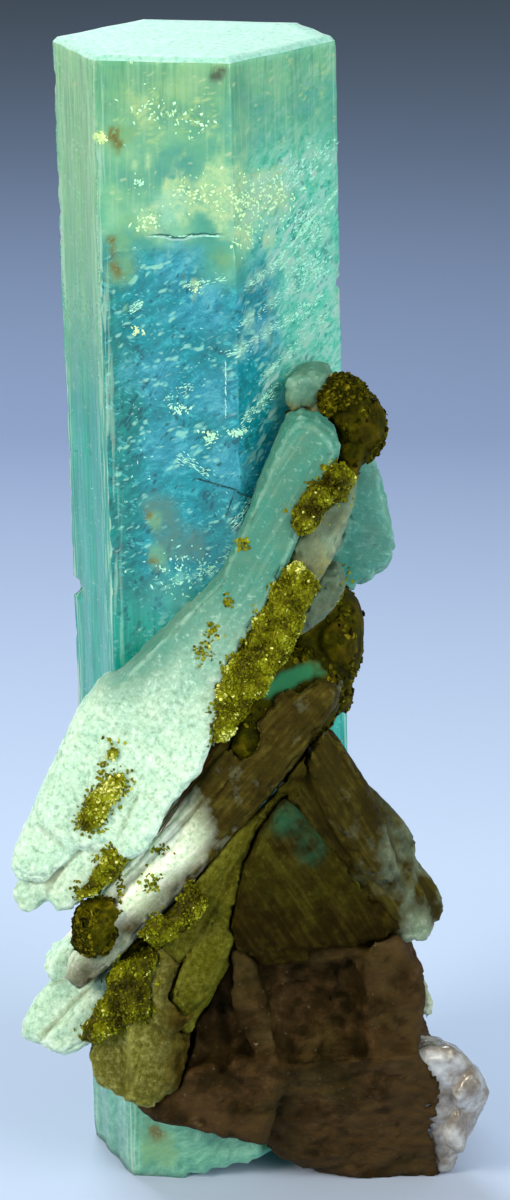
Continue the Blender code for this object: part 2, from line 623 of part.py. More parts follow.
def add_back_blades(specimen):
    specimen.add("albite_blades_back_right", "albite_grey", [
        board((9.2, -5.4, 34.5), (0.20, 0.02, -1.0), (0.86, -0.44, 0.24), 18.0, 7.0, 3.6),
        board((10.2, -1.2, 36.0), (0.16, 0.16, -1.0), (0.97, -0.06, 0.20), 24.0, 6.0, 3.4),
        board((10.0, 2.6, 30.0), (0.34, -0.02, -1.0), (0.93, 0.24, 0.34), 19.0, 8.0, 3.0),
        board((9.4, 5.6, 33.5), (0.14, 0.34, -1.0), (0.86, 0.46, 0.20), 25.0, 5.6, 3.2),
        board((8.4, 9.0, 24.0), (0.40, 0.20, -1.0), (0.66, 0.70, 0.30), 17.0, 7.0, 3.2),
    ])
    specimen.add("albite_blades_back", "albite_grey", [
        board((4.4, 11.6, 29.0), (0.30, 0.16, -1.0), (0.16, 0.97, 0.20), 23.0, 8.5, 2.8),
        board((1.0, 12.4, 22.5), (-0.22, 0.18, -1.0), (0.10, 0.98, 0.18), 18.0, 6.0, 3.2),
        board((-4.4, 12.2, 17.0), (-0.55, 0.04, -1.0), (0.06, 0.99, 0.06), 14.0, 5.0, 2.2),
        board((3.2, 12.8, 16.0), (-0.42, 0.26, -1.0), (0.06, 0.94, 0.30), 13.0, 6.5, 2.4),
    ])


# The mica

def add_mica_right(specimen):
    face = [(8.5, 56.6), (9.9, 55.2), (10.4, 53.5), (10.4, 50.5), (9.6, 48.5), (8.2, 45.6), (3.4, 47.0),
            (3.4, 52.0), (6.4, 55.4)]
    layer = [(7.9, 55.6), (9.4, 54.0), (9.9, 50.0), (8.8, 47.2), (4.0, 46.4), (3.6, 53.0)]
    inner = [(8.4, 54.2), (10.1, 52.4), (9.6, 48.6), (7.0, 46.4), (4.0, 50.0)]
    under = [(8.3, 48.4), (8.4, 46.0), (7.6, 43.8), (6.3, 42.2), (3.9, 40.2), (0.2, 38.6), (-2.4, 40.6),
             (-0.6, 46.9), (2.9, 51.0), (5.4, 51.0)]
    under_layer = [(8.2, 46.6), (7.6, 43.8), (5.4, 41.6), (1.0, 42.0), (3.0, 48.0)]
    specimen.add("mica_mass_right", "mica_dark", [
        slab(face, -11.8, (0.25, 0.05), 3.6, 0.9),
        slab(layer, -9.0, (0.2, 0.1), 3.4, 0.6),
        slab(inner, -6.4, (0.3, -0.1), 3.8, 0.7),
        slab(under, -14.8, (0.25, 0.05), 5.0, 0.9),
        slab(under_layer, -10.4, (0.2, 0.0), 4.6, 0.7),
        lump(7.8, 51.6, -11.4, (2.3, 1.8, 3.3), seed=31, corners=22),
        lump(8.0, 46.2, -8.4, (1.6, 2.4, 1.8), seed=32, corners=18),
    ])


def add_mica_masses(specimen):
    stem = [(8.2, 72.0), (10.6, 71.6), (9.9, 69.4), (9.7, 68.0), (8.8, 68.2), (7.9, 69.9)]
    wing = [(2.7, 74.9), (3.3, 76.2), (4.6, 75.6), (6.6, 74.4), (5.0, 72.4), (3.2, 73.2)]
    specimen.add("mica_knob_upper", "mica_dark", [
        lump(9.6, 73.4, -6.2, (2.9, 3.6, 3.9), seed=41, corners=34),
        lump(7.9, 76.2, -7.0, (2.9, 2.4, 2.1), seed=43, corners=24),
        slab(stem, -9.4, (0.2, 0.0), 3.6, 0.6),
        slab(wing, -10.0, (0.2, 0.0), 5.0, 0.5),
    ])
    filling = [(-15.4, 18.6), (-11.0, 22.6), (-5.6, 28.0), (-2.6, 24.0), (-5.0, 14.0), (-9.0, 11.0),
               (-15.6, 12.0)]
    specimen.add("mica_mass_low", "mica_dark", [
        slab(filling, -15.4, (0.02, 0.04), 4.8, 0.6),
        lump(-7.6, 24.0, -17.2, (2.8, 1.6, 2.2), seed=55, corners=18),
    ])
    specimen.add("mica_lump_left", "mica_dark", [
        lump(-15.8, 22.2, -18.4, (2.2, 1.9, 3.1), seed=51, corners=22),
        lump(-14.8, 24.3, -17.8, (2.1, 1.6, 1.5), seed=52, corners=14),
        lump(-16.8, 20.6, -17.6, (1.4, 1.6, 1.6), seed=53, corners=14),
    ])


def crust_mesh(outline, front, thick, seed, spacing=1.25):
    """A lumpy sheet: its points are spread over the outline and stand out by a seeded noise."""
    rng = random.Random(seed)
    bm = bmesh.new()
    rim = []
    for i, (x, z) in enumerate(outline):
        after = outline[(i + 1) % len(outline)]
        steps = max(1, round(math.dist((x, z), after) / spacing))
        for step in range(steps):
            share = step / steps
            rim.append((x + (after[0] - x) * share, z + (after[1] - z) * share))
    inner = []
    low_x, high_x = min(p[0] for p in rim), max(p[0] for p in rim)
    low_z, high_z = min(p[1] for p in rim), max(p[1] for p in rim)
    rows = int((high_z - low_z) / spacing) + 1
    columns = int((high_x - low_x) / spacing) + 1
    for row in range(rows):
        for column in range(columns):
            x = low_x + (column + 0.5 * (row % 2) + rng.uniform(-0.2, 0.2)) * spacing
            z = low_z + (row + rng.uniform(-0.2, 0.2)) * spacing
            if inside(x, z, rim) and min(math.dist((x, z), p) for p in rim) > 0.55 * spacing:
                inner.append((x, z))
    flat = [Vector(p) for p in rim + inner]
    edges = [(i, (i + 1) % len(rim)) for i in range(len(rim))]
    points, _, faces, _, _, _ = delaunay_2d_cdt(flat, edges, [], 1, 0.001)
    raised = []
    lowered = []
    for i, point in enumerate(points):
        x, z = point.x, point.y
        bump = 0.45 * thick * noise.noise(Vector((x, z, seed)) * 0.9) + rng.uniform(-0.2, 0.2) * thick
        lift = 0.25 * thick if i < len(rim) else 0.75 * thick + bump
        raised.append(bm.verts.new(seen(x, z, front(x, z) - lift)))
        lowered.append(bm.verts.new(seen(x, z, front(x, z) + thick)))
    for face in faces:
        bm.faces.new([raised[i] for i in face])
        bm.faces.new([lowered[i] for i in reversed(face)])
    for i in range(len(rim)):
        j = (i + 1) % len(rim)
        bm.faces.new((raised[i], lowered[i], lowered[j], raised[j]))
    bmesh.ops.recalc_face_normals(bm, faces=bm.faces)
    return bm


def inside(x, z, polygon):
    odd = False
    for i, (ax, az) in enumerate(polygon):
        bx, bz = polygon[i - 1]
        if (az > z) != (bz > z) and x < (bx - ax) * (z - az) / (bz - az) + ax:
            odd = not odd
    return odd


def plane(x0, z0, y0, lean):
    """The depth, as a function of x and z, of a plane through (x0, y0, z0)."""
    return lambda x, z: y0 + lean[0] * (x - x0) + lean[1] * (z - z0)


def on_front(step):
    """The front blade's plane, moved back by step."""
    return plane(FRONT_MID[0], FRONT_MID[1], FRONT_MID[2] + step, FRONT_LEAN)


def add_crusts(specimen):
    band = [(4.3, 59.4), (2.9, 58.8), (1.2, 56.4), (-1.0, 52.0), (-2.6, 49.5), (-4.3, 47.1), (-5.7, 43.9),
            (-6.8, 40.6), (-6.5, 38.4), (-5.3, 39.3), (-3.9, 41.6), (-1.3, 44.2), (0.9, 47.1),
            (3.1, 51.0), (4.6, 55.2), (6.1, 57.4)]
    upper = [(8.6, 69.1), (7.6, 69.3), (6.2, 68.3), (5.0, 66.8), (3.4, 64.8), (3.4, 63.4), (4.6, 62.6),
             (5.6, 63.6), (6.4, 65.2), (8.3, 66.8), (9.1, 67.9)]
    left = [(-13.9, 41.7), (-14.6, 40.3), (-13.7, 39.3), (-14.5, 37.3), (-16.4, 35.8), (-17.2, 33.4),
            (-16.7, 32.2), (-15.4, 33.0), (-14.1, 35.0), (-12.5, 37.0), (-11.4, 38.4), (-12.7, 38.9),
            (-13.0, 40.6)]
    crease = [(-12.0, 34.4), (-13.0, 34.0), (-14.6, 31.4), (-14.6, 29.6), (-17.2, 26.6), (-17.4, 25.4),
              (-16.0, 25.6), (-13.6, 28.2), (-12.6, 29.8), (-12.8, 31.4)]
    low = [(-8.9, 20.8), (-12.1, 19.2), (-14.7, 17.3), (-14.2, 15.9), (-15.5, 14.0), (-16.9, 12.2),
           (-17.0, 10.6), (-15.6, 10.2), (-13.1, 12.4), (-10.7, 13.8), (-10.2, 16.4), (-9.0, 18.6)]
    middle = [(-9.8, 23.2), (-11.4, 21.7), (-9.4, 20.9), (-6.2, 22.6), (-5.0, 25.4), (-6.4, 26.6)]
    over_plates = plane(-13.0, 15.0, -17.4, (-0.05, 0.1))
    over_shaded = plane(-8.0, 23.4, -18.4, (0.0, 0.05))
    for name, outline, front, thick, seed in (
        ("band", band, on_front(0.6), 1.5, 61),
        ("upper", upper, on_front(0.3), 2.0, 62),
        ("left", left, on_front(0.0), 1.2, 63),
        ("crease", crease, on_front(0.5), 1.3, 64),
        ("low", low, over_plates, 1.5, 65),
        ("middle", middle, over_shaded, 1.1, 66),
    ):
        specimen.add_crust("mica_crust_" + name, "mica", crust_mesh(outline, front, thick, seed))


def move_to_origin(objects):
    """Puts the middle of the specimen's footprint box at the origin, and its lowest point at z = 0."""
    corners = [vert.co for obj in objects for vert in obj.data.vertices]
    low, high = box_of(corners)
    shift = Vector(((low.x + high.x) / 2, (low.y + high.y) / 2, low.z))
    for obj in objects:
        for vert in obj.data.vertices:
            vert.co = (vert.co - shift) * MM
    print("shift in mm", [round(c, 3) for c in shift])


def main():
    clear_scene()
    specimen = Specimen()
    add_aquamarine(specimen)
    add_front_blades(specimen)
    add_small_right_blade(specimen)
    add_mica_right(specimen)
    add_left_blades(specimen)
    add_right_blades(specimen)
    add_middle_blades(specimen)
    add_low_plates(specimen)
    add_right_upper_blades(specimen)
    add_quartz(specimen)
    add_matrix(specimen)
    add_back_blades(specimen)
    add_mica_masses(specimen)
    add_crusts(specimen)
    move_to_origin(specimen.objects)
    for obj in specimen.objects:
        print(obj.name, len(obj.data.polygons))
    print("triangles", sum(len(obj.data.polygons) for obj in specimen.objects))


main()
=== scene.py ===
# %% [markdown]
# # An aquamarine crystal on albite, mica and brown rock
# The real object is a mineral specimen about 11 cm tall. One six-sided beryl crystal stands on its broken
# foot, pale blades of albite cross it, green mica crusts sit between the blades, and brown rock holds the
# lower right. This lesson dresses its plain solids: every piece gets a finer mesh and its own material.
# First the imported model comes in. It is the fixed frame that every piece is made around.

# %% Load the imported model
import math

import bpy
import numpy as np
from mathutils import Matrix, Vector
from mathutils.bvhtree import BVHTree


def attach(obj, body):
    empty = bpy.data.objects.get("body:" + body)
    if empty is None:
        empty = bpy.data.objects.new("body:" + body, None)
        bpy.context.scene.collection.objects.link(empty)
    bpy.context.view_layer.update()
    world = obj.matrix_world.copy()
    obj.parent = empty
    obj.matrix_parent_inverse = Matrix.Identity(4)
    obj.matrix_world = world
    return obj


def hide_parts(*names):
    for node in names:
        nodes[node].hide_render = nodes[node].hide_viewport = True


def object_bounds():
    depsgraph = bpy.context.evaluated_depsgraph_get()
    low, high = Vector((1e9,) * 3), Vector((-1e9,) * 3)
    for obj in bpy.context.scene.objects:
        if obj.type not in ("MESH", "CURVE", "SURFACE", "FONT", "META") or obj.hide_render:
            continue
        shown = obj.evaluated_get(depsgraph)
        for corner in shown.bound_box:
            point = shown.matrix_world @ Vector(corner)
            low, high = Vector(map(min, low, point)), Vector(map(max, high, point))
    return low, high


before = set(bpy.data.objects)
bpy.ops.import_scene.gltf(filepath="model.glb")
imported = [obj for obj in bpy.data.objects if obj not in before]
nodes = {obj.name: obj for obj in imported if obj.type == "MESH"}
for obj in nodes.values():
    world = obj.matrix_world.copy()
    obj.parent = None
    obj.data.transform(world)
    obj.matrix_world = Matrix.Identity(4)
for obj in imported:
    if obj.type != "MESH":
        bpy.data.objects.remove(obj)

MM = 0.001               # the scene is in metres, and the shapes below are worked out in millimetres
cad_box = [list(corner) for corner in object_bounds()]
BOX_LOW, BOX_HIGH = (np.array(corner) / MM for corner in cad_box)
ORIGIN_SHIFT = np.array([-0.103, -1.581, 0.2])   # how far the finished part was moved onto its origin
print("solids' box in mm:", np.round(BOX_LOW, 1), np.round(BOX_HIGH, 1))

# %% [markdown]
# ## The camera
# The photograph looks down at the specimen by 16.5 degrees with a long lens, so the crystal's flat top shows
# as a thin bright plane and upright lines stay nearly parallel. A camera is only an eye point, a point to aim
# at and a lens, so those three are all that is set.

# %% The camera
EYE = np.array([0.0, -420.0, 180.41]) - ORIGIN_SHIFT      # mm
AIM = np.array([0.0, 0.0, 56.0]) - ORIGIN_SHIFT
camera_data = bpy.data.cameras.new("camera")
camera_data.lens = 136.668
camera_data.sensor_width = 36.0
camera = bpy.data.objects.new("camera", camera_data)
camera.location = EYE * MM
camera.rotation_euler = Vector(AIM - EYE).to_track_quat("-Z", "Y").to_euler()
bpy.context.scene.collection.objects.link(camera)
bpy.context.scene.camera = camera
print("camera at", np.round(EYE, 1), "mm")

# %% [markdown]
# ## Noise for shapes
# Nothing on a crystal repeats, so its relief comes from noise: a fixed random number at every whole-number
# place in space, blended smoothly in between. Ripples of several sizes are added up for rock and weathered
# faces. The numbers come from a formula and not from a random generator, so the result is always the same.

# %% Noise in bumps of a given size
CUBE_CORNERS = np.array([(i, j, k) for i in (0, 1) for j in (0, 1) for k in (0, 1)])


def fixed_number(cell, seed):
    """A number from -1 to 1 that belongs to each whole-number place; large odd factors mix its digits."""
    mixed = cell[:, 0] * 374761393 + cell[:, 1] * 668265263 + cell[:, 2] * 1440662683 + seed * 974711
    mixed = ((mixed ^ (mixed >> 13)) * 1274126177) & 0x7FFFFFFF
    mixed = ((mixed ^ (mixed >> 16)) * 2146121005) & 0x7FFFFFFF
    return ((mixed >> 7) & 0xFFFF) / 32767.5 - 1.0


def ripple(points, size, seed=0):
    """Smooth noise from -1 to 1 in bumps about size mm across; size may be three numbers."""
    place = points / np.asarray(size, float) + 0.37 * seed
    cell = np.floor(place).astype(np.int64)
    share = place - cell
    share = share * share * (3.0 - 2.0 * share)
    total = np.zeros(len(points))
    for corner in CUBE_CORNERS:
        total += np.where(corner, share, 1.0 - share).prod(axis=1) * fixed_number(cell + corner, seed)
    return total


def layers(points, size, seed=0, count=3, fade=0.5):
    """Ripples upon ripples, each half the size of the one before and fainter."""
    size = np.asarray(size, float)
    parts = [fade ** i * ripple(points, size / 2 ** i, seed + 7 * i) for i in range(count)]
    return sum(parts) / sum(fade ** i for i in range(count))


line = ripple(np.linspace(0.0, 40.0, 400)[:, None] * (1.0, 0.3, 0.1), 4.0)
print("ripples along a line run from", round(line.min(), 2), "to", round(line.max(), 2))


# %% Soft steps and spots
def ease(value):
    """Runs smoothly from 0 to 1 as value does, and stays there outside."""
    value = np.clip(value, 0.0, 1.0)
    return value * value * (3.0 - 2.0 * value)


def stepped(height, sharp):
    """Turns a smooth slope into level steps 1 high; sharp says how short the rise between them is."""
    return np.floor(height) + ease(sharp * (height - np.floor(height)) - (sharp - 1.0))


def spots(points, places, warp=0.35, seed=60):
    """1 in the middle of each (x, y, z, radius) spot and 0 outside it, with a ragged edge."""
    found = np.zeros(len(points))
    ragged = 1.0 + warp * layers(points, 1.2, seed)
    for x, y, z, radius in places:
        away = np.linalg.norm(points - (x, y, z), axis=1) / radius
        found = np.maximum(found, ease(1.6 * (1.0 - away * ragged)))
    return found


print("a slope of 0.5, 0.9, 1.5 in steps:", stepped(np.array([0.5, 0.9, 1.5]), 6.0).round(2))

# %% [markdown]
# ## Meshes
# A solid's large plain faces can't carry fine relief, so each one is copied and rebuilt by the Remesh
# modifier in voxel mode, which lays an even net of small squares over it. After that every point of the net
# can be pushed in or out along its normal. One function turns points and faces into a piece, keeps it inside
# the solids' box, hangs it on the root body and hides the solid that it stands for.

# %% A fine net over a solid
FEWER = 1.0
COARSER = 1.0        # and how much wider its nets are


def fine_net(node, grain):
    """The points in mm, the four-cornered faces and the normals of a net over a solid, grain mm wide."""
    copy = bpy.data.objects.new("net", nodes[node].data.copy())
    bpy.context.scene.collection.objects.link(copy)
    remesh = copy.modifiers.new("net", "REMESH")
    remesh.mode = "VOXEL"
    remesh.voxel_size = grain * MM * COARSER
    evaluated = copy.evaluated_get(bpy.context.evaluated_depsgraph_get())
    mesh = evaluated.to_mesh()
    points = np.empty(len(mesh.vertices) * 3)
    mesh.vertices.foreach_get("co", points)
    faces = np.empty(len(mesh.loops), np.int32)
    mesh.loops.foreach_get("vertex_index", faces)
    evaluated.to_mesh_clear()
    old = copy.data
    bpy.data.objects.remove(copy)
    bpy.data.meshes.remove(old)
    points, faces = points.reshape(-1, 3) / MM, faces.reshape(-1, 4)
    return points, faces, normals_of(points, faces)


def summed(where, values, count):
    """Adds up the rows of values that go to the same point."""
    return np.column_stack([np.bincount(where, values[:, i], count) for i in range(3)])


def across_faces(corner):
    """For four-cornered faces, given by their corners, the outward direction, as long as twice the area."""
    return np.cross(corner[:, 2] - corner[:, 0], corner[:, 3] - corner[:, 1])


def normals_of(points, faces):
    """The outward direction at each point of a net."""
    across = across_faces(points[faces])
    total = sum(summed(faces[:, i], across, len(points)) for i in range(4))
    return total / np.maximum(np.linalg.norm(total, axis=1, keepdims=True), 1e-9)


def standing_out(points, faces, normals, full, rounds=6):
    """How far a point stands out of its surroundings: up to 1 on an edge, full mm high, -1 in a crease."""
    count = len(points)
    links = sum(np.bincount(faces[:, i], minlength=count) for i in range(4))[:, None] * 2.0
    mean = points
    for _ in range(rounds):
        ahead = sum(summed(faces[:, i], mean[faces[:, (i + 1) % 4]], count) for i in range(4))
        behind = sum(summed(faces[:, i], mean[faces[:, (i + 3) % 4]], count) for i in range(4))
        mean = (ahead + behind) / links
    return np.clip(((points - mean) * normals).sum(axis=1) / full, -1.0, 1.0)


print("full detail")


# %% From points to a piece
def make_piece(name, points, faces, materials, replaced=(), fields=None, flat=None, paint=None):
    """A mesh object on the root body. fields are numbers or vectors per point for its material to read."""
    points = np.clip(points, BOX_LOW, BOX_HIGH)
    mesh = bpy.data.meshes.new(name)
    mesh.from_pydata((points * MM).tolist(), [], faces if isinstance(faces, list) else faces.tolist())
    for material in materials:
        mesh.materials.append(material)
    smooth = np.ones(len(mesh.polygons), bool)
    if flat is not None:
        smooth[flat] = False
    mesh.polygons.foreach_set("use_smooth", smooth)
    if paint is not None:
        mesh.polygons.foreach_set("material_index", np.asarray(paint, np.int32))
    for field, values in (fields or {}).items():
        vector = np.ndim(values) == 2
        layer = mesh.attributes.new(field, "FLOAT_VECTOR" if vector else "FLOAT", "POINT")
        layer.data.foreach_set("vector" if vector else "value", np.ravel(values))
    mesh.update()
    piece = bpy.data.objects.new(name, mesh)
    bpy.context.scene.collection.objects.link(piece)
    if replaced:
        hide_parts(*replaced)
    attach(piece, "root")
    triangles = sum(len(p.vertices) - 2 for p in mesh.polygons)
    print(name, triangles, "triangles")


# %% [markdown]
# ## Colours and nodes
# Colours are written the way a paint chart gives them, as sRGB hex, and one function turns them to the linear
# numbers that the renderer works in. One other function adds a node with its settings and its links, so each
# material below reads as a list of what it is made of. Two names stand for long rows of sockets, so that
# several textures or ranges can be written as a table and made in one loop.

# %% Colours and nodes
NOISE = ("Vector", "Scale", "Detail", "Roughness")                 # the sockets of a noise texture
RANGE = ("Value", "From Min", "From Max", "To Min", "To Max")      # and of a map range


def linear(code):
    """The linear colour of an sRGB hex code."""
    shares = [int(code[i:i + 2], 16) / 255 for i in (1, 3, 5)]
    return [s / 12.92 if s <= 0.04045 else ((s + 0.055) / 1.055) ** 2.4 for s in shares] + [1.0]


def add(tree, kind, inputs=None, stops=None, **settings):
    """A new node. inputs maps a socket to a value or to another node's output; stops fill a colour ramp."""
    node = tree.nodes.new("ShaderNode" + kind)
    for name, value in settings.items():
        setattr(node, name, value)
    if stops:
        ramp = node.color_ramp.elements
        ramp.remove(ramp[1])
        ramp[0].position, ramp[0].color = stops[0][0], linear(stops[0][1])
        for place, colour in stops[1:]:
            ramp.new(place).color = linear(colour)
    for socket, value in (inputs or {}).items():
        if isinstance(value, bpy.types.NodeSocket):
            tree.links.new(value, node.inputs[socket])
        else:
            node.inputs[socket].default_value = value
    return node


def washed(tree, colour, washes):
    """Lays colours over a colour, one after another: each wash is where, as a share, and its colour."""
    for where, wash in washes:
        wash = linear(wash) if isinstance(wash, str) else wash
        colour = add(tree, "Mix", {0: where, 6: colour, 7: wash}, data_type="RGBA").outputs[2]
    return colour


def new_material(name, *fields):
    """An empty material, its node tree and the mesh's fields of the given names."""
    material = bpy.data.materials.new(name)
    material.use_nodes = True
    tree = material.node_tree
    tree.nodes.clear()
    return material, tree, *(add(tree, "Attribute", attribute_name=field).outputs["Fac"] for field in fields)


def per_mm(size):
    """The scale at which a texture on coordinates in metres has features of size mm."""
    return 1.0 / (size * MM)


print("a middle grey, #808080, is", round(linear("#808080")[0], 3), "in linear light")

# %% [markdown]
# ## Floor and light
# The floor is a plain pale blue board whose colour is painted darker towards slate far behind, as painted
# shade where the light falls off, so that the pale stone stands out. A warm key light on the left draws the
# growth lines and models the blades. A larger soft light on the right fills the shade, and a third one,
# behind on the left, shines into the clear crystal and makes it glow.

# %% Floor
FLOOR_HALF = 3000.0                          # mm
FADE_START, FADE_END = 80.0, 750.0           # mm behind the specimen
floor_material, tree = new_material("floor pale matte board")
# Painted shade: the board's colour darkens with distance behind, standing in for the light falling off.
behind = add(tree, "SeparateXYZ", {0: add(tree, "TexCoord").outputs["Object"]}).outputs["Y"]
far = add(tree, "MapRange", {"Value": behind, "From Min": FADE_START * MM, "From Max": FADE_END * MM})
shade = add(tree, "ValToRGB", {0: far.outputs[0]}, stops=[
    (0.0, "#A6B6D2"), (0.3, "#6C7C9E"), (0.65, "#566682"), (1.0, "#48586C")])
matte = add(tree, "BsdfPrincipled", {"Base Color": shade.outputs[0], "Roughness": 0.9})
add(tree, "OutputMaterial", {"Surface": matte.outputs[0]})
floor_mesh = bpy.data.meshes.new("floor")
corners = [(-1, -1, 0), (1, -1, 0), (1, 1, 0), (-1, 1, 0)]
floor_mesh.from_pydata([[c * FLOOR_HALF * MM for c in corner] for corner in corners], [], [(0, 1, 2, 3)])
floor_mesh.materials.append(floor_material)
floor = bpy.data.objects.new("floor", floor_mesh)
bpy.context.scene.collection.objects.link(floor)
print("floor", 2 * FLOOR_HALF * MM, "m wide")

# %% Lights
# name: place in mm, side in mm, power in watts, colour
LIGHTS = {
    "key_left": ((-400.0, -360.0, 300.0), 220.0, 3.5, "#FFF2DC"),
    "glow_behind_left": ((-130.0, 360.0, 420.0), 260.0, 2.6, "#F4FBFF"),
    "fill_right": ((380.0, -380.0, 280.0), 400.0, 3.3, "#FBF8EE"),
}
LIT = np.array((-3.0, 0.0, 60.0))            # mm; the point that the lights face
for name, (where, side, watts, colour) in LIGHTS.items():
    light_data = bpy.data.lights.new(name, "AREA")
    light_data.size = side * MM
    light_data.energy = watts
    light_data.color = linear(colour)[:3]
    light = bpy.data.objects.new(name, light_data)
    light.location = np.array(where) * MM
    light.rotation_euler = Vector(LIT - where).to_track_quat("-Z", "Y").to_euler()
    bpy.context.scene.collection.objects.link(light)
world = bpy.data.worlds.new("sky")
world.use_nodes = True
sky = world.node_tree.nodes["Background"].inputs
sky["Color"].default_value, sky["Strength"].default_value = linear("#DCE8E6"), 0.42
bpy.context.scene.world = world
bpy.context.scene.view_settings.view_transform = "Standard"
print(len(LIGHTS), "lights")

# %% [markdown]
# ## The aquamarine crystal: shape
# Beryl grows as a six-sided prism with a flat end. Its side faces carry fine upright growth lines, its edges
# are chipped, and its foot is a rough break. The lines all run upright, so an even net would waste its
# points: here rays are sent from outside towards the leaning axis, in closely spaced columns and wider rows,
# and the net is laid through the places where they strike the solid. Then the growth lines are pressed in.

# %% The prism's section and axis
FACE_WIDTHS = (12.5, 15.9, 8.4, 15.2, 13.2, 11.1)        # mm: front, front right, then round to front left
FRONT_TURN = -8.0                                         # degrees
TOP = 110.2                                               # mm; how high the flat end lies
AXIS_TOP = np.array([-5.8, 0.2, 110.4]) - ORIGIN_SHIFT
AXIS_FOOT = np.array([-3.1, 0.2, 0.2]) - ORIGIN_SHIFT
COLUMNS, ROWS, CAP_RINGS = ((372, 176, 14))


def prism_corners():
    """The section's six corners round its axis, from the left end of the front face."""
    corners = [np.zeros(2)]
    for side, width in enumerate(FACE_WIDTHS[:-1]):
        angle = math.radians(FRONT_TURN + 60.0 * side)
        corners.append(corners[-1] + width * np.array([math.cos(angle), math.sin(angle)]))
    return np.array(corners) - np.mean(corners, axis=0)


def strike(point, toward):
    """Where a ray from a point first meets the crystal, the face's normal there and how far away it is."""
    struck, normal, _, away = crystal_faces.ray_cast(Vector(point), Vector(toward))
    return struck, normal, away


def band_between(low, high):
    """Four-cornered faces from one ring of the net to the next, whose first points are low and high."""
    return [(low + i, low + (i + 1) % wide, high + (i + 1) % wide, high + i) for i in range(wide)]


crystal = nodes["aquamarine_crystal"].data
crystal_faces = BVHTree.FromPolygons([v.co / MM for v in crystal.vertices],
                                     [tuple(p.vertices) for p in crystal.polygons])
corners = prism_corners()
spoke, side_of, along = [], [], []
for side in range(6):
    start, end = corners[side], corners[(side + 1) % 6]
    count = round(COLUMNS * np.linalg.norm(end - start) / sum(FACE_WIDTHS))
    for i in range(count):
        spoke.append(start + (end - start) * i / count)
        side_of.append(side)
        along.append(sum(FACE_WIDTHS[:side]) + np.linalg.norm(end - start) * i / count)
spoke, side_of, along = np.array(spoke), np.array(side_of), np.array(along)
wide = len(spoke)
print("prism net:", wide, "columns,", ROWS, "rows")

# %% The prism's net
TILT = 0.12              # a face whose normal points up or down by more than this is a break
heights = np.append(np.linspace(0.02, TOP - 0.48, ROWS - 3), [TOP - 0.32, TOP - 0.16, TOP - 0.02])
rows, broken = [], []
for height in heights:
    axis = AXIS_FOOT + (AXIS_TOP - AXIS_FOOT) * (height - AXIS_FOOT[2]) / (AXIS_TOP[2] - AXIS_FOOT[2])
    reach = 1.0
    for flat in spoke:
        outward = Vector((flat[0], flat[1], 0.0))
        outside = Vector((axis[0], axis[1], height)) + outward * 1.5
        struck, normal, away = strike(outside, -outward.normalized())
        if struck is not None:
            reach = 1.5 - away / outward.length
            broken.append(max(0.0, abs(normal.z) - TILT))
        else:
            broken.append(0.0)
        rows.append((axis[0] + flat[0] * reach, axis[1] + flat[1] * reach, height))
sides = np.array(rows)
broken = np.clip(np.array(broken) * 4.0, 0.0, 1.0)
broken[sides[:, 2] > TOP - 2.2] = 0.0
print("share of the net on breaks:", round(broken.mean(), 3))

# %% Growth lines and chips
# The growth lines stand about 0.5 to 3 mm apart and run unbroken for 9 to 34 mm. They are cut a little deeper
# in the back and left faces than in the front ones, and chips break the long edges.
LINE_DEPTH = np.array([0.035, 0.04, 0.045, 0.05, 0.05, 0.045])       # mm, face by face
CHIP_DEPTH, CHIP_REACH = 0.28, 0.7                                   # mm
CORNERS_AT = np.cumsum((0,) + FACE_WIDTHS)                           # mm round the crystal
step = np.arange(len(sides)) % wide
unrolled = np.column_stack([along[step], sides[:, 2], np.zeros(len(sides))])
grooves = sum(strength * ripple(unrolled, (apart, run, 1.0), seed) for strength, apart, run, seed in (
    (1.0, 0.55, 9.0, 1), (0.8, 1.3, 22.0, 2), (0.7, 3.4, 34.0, 3)))
column_faces = np.array([face for row in range(ROWS - 1)
                         for face in band_between(row * wide, (row + 1) * wide)])
outward = normals_of(sides, column_faces)
outward[:, 2] *= 0.5
edge = np.min(np.abs(along[None, :] - CORNERS_AT[:, None]), axis=0)[step]
chips = ease(1.0 - edge / CHIP_REACH) * ease(2.0 * layers(sides, 1.4, 21) - 0.1)
push = LINE_DEPTH[side_of[step]] * grooves - CHIP_DEPTH * chips + 0.05 * layers(sides, 2.6, 5)
push += broken * (0.35 * layers(sides, 2.2, 8, 3) + 0.1 * ripple(sides, 0.7, 9))
push += 0.03 * ripple(sides, (1.2, 1.2, 0.9), 31) * ease((sides[:, 2] - 60.0) / 8.0)
push *= ease((TOP + 0.1 - sides[:, 2]) / 0.5)
net = sides + outward * push[:, None]
net[:wide, 2] = 0.0
print("growth lines and chips from", round(push.min(), 2), "to", round(push.max(), 2), "mm")

# %% The flat end and the foot
rim, foot = net[-wide:], net[:wide]
centre_top = np.append(AXIS_TOP[:2], net[-1, 2])
rings = []
for i in range(1, CAP_RINGS):
    share = 1.0 - (i / CAP_RINGS) ** 0.85
    ring = centre_top + (rim - centre_top) * share
    dips = 0.09 * np.abs(layers(ring, (3.0, 2.0, 2.0), 12)) * ease(2.0 * (1.0 - share) + 0.3)
    ring[:, 2] = TOP - 0.05 - dips
    rings.append(ring)
centre_foot = np.array([foot[:, 0].mean(), foot[:, 1].mean(), 0.0])
under = [centre_foot + (foot - centre_foot) * share for share in (0.66, 0.33)]
middle_top = centre_top[None, :] - (0, 0, 0.06)
prism_points = np.vstack([net] + rings + [middle_top] + under + [centre_foot[None, :]])
prism_faces = column_faces.tolist()
above = [(ROWS - 1) * wide] + [len(net) + i * wide for i in range(CAP_RINGS - 1)]
for low_ring, high_ring in zip(above, above[1:]):
    prism_faces += band_between(low_ring, high_ring)
top_point = len(net) + (CAP_RINGS - 1) * wide
prism_faces += [(above[-1] + i, above[-1] + (i + 1) % wide, top_point) for i in range(wide)]
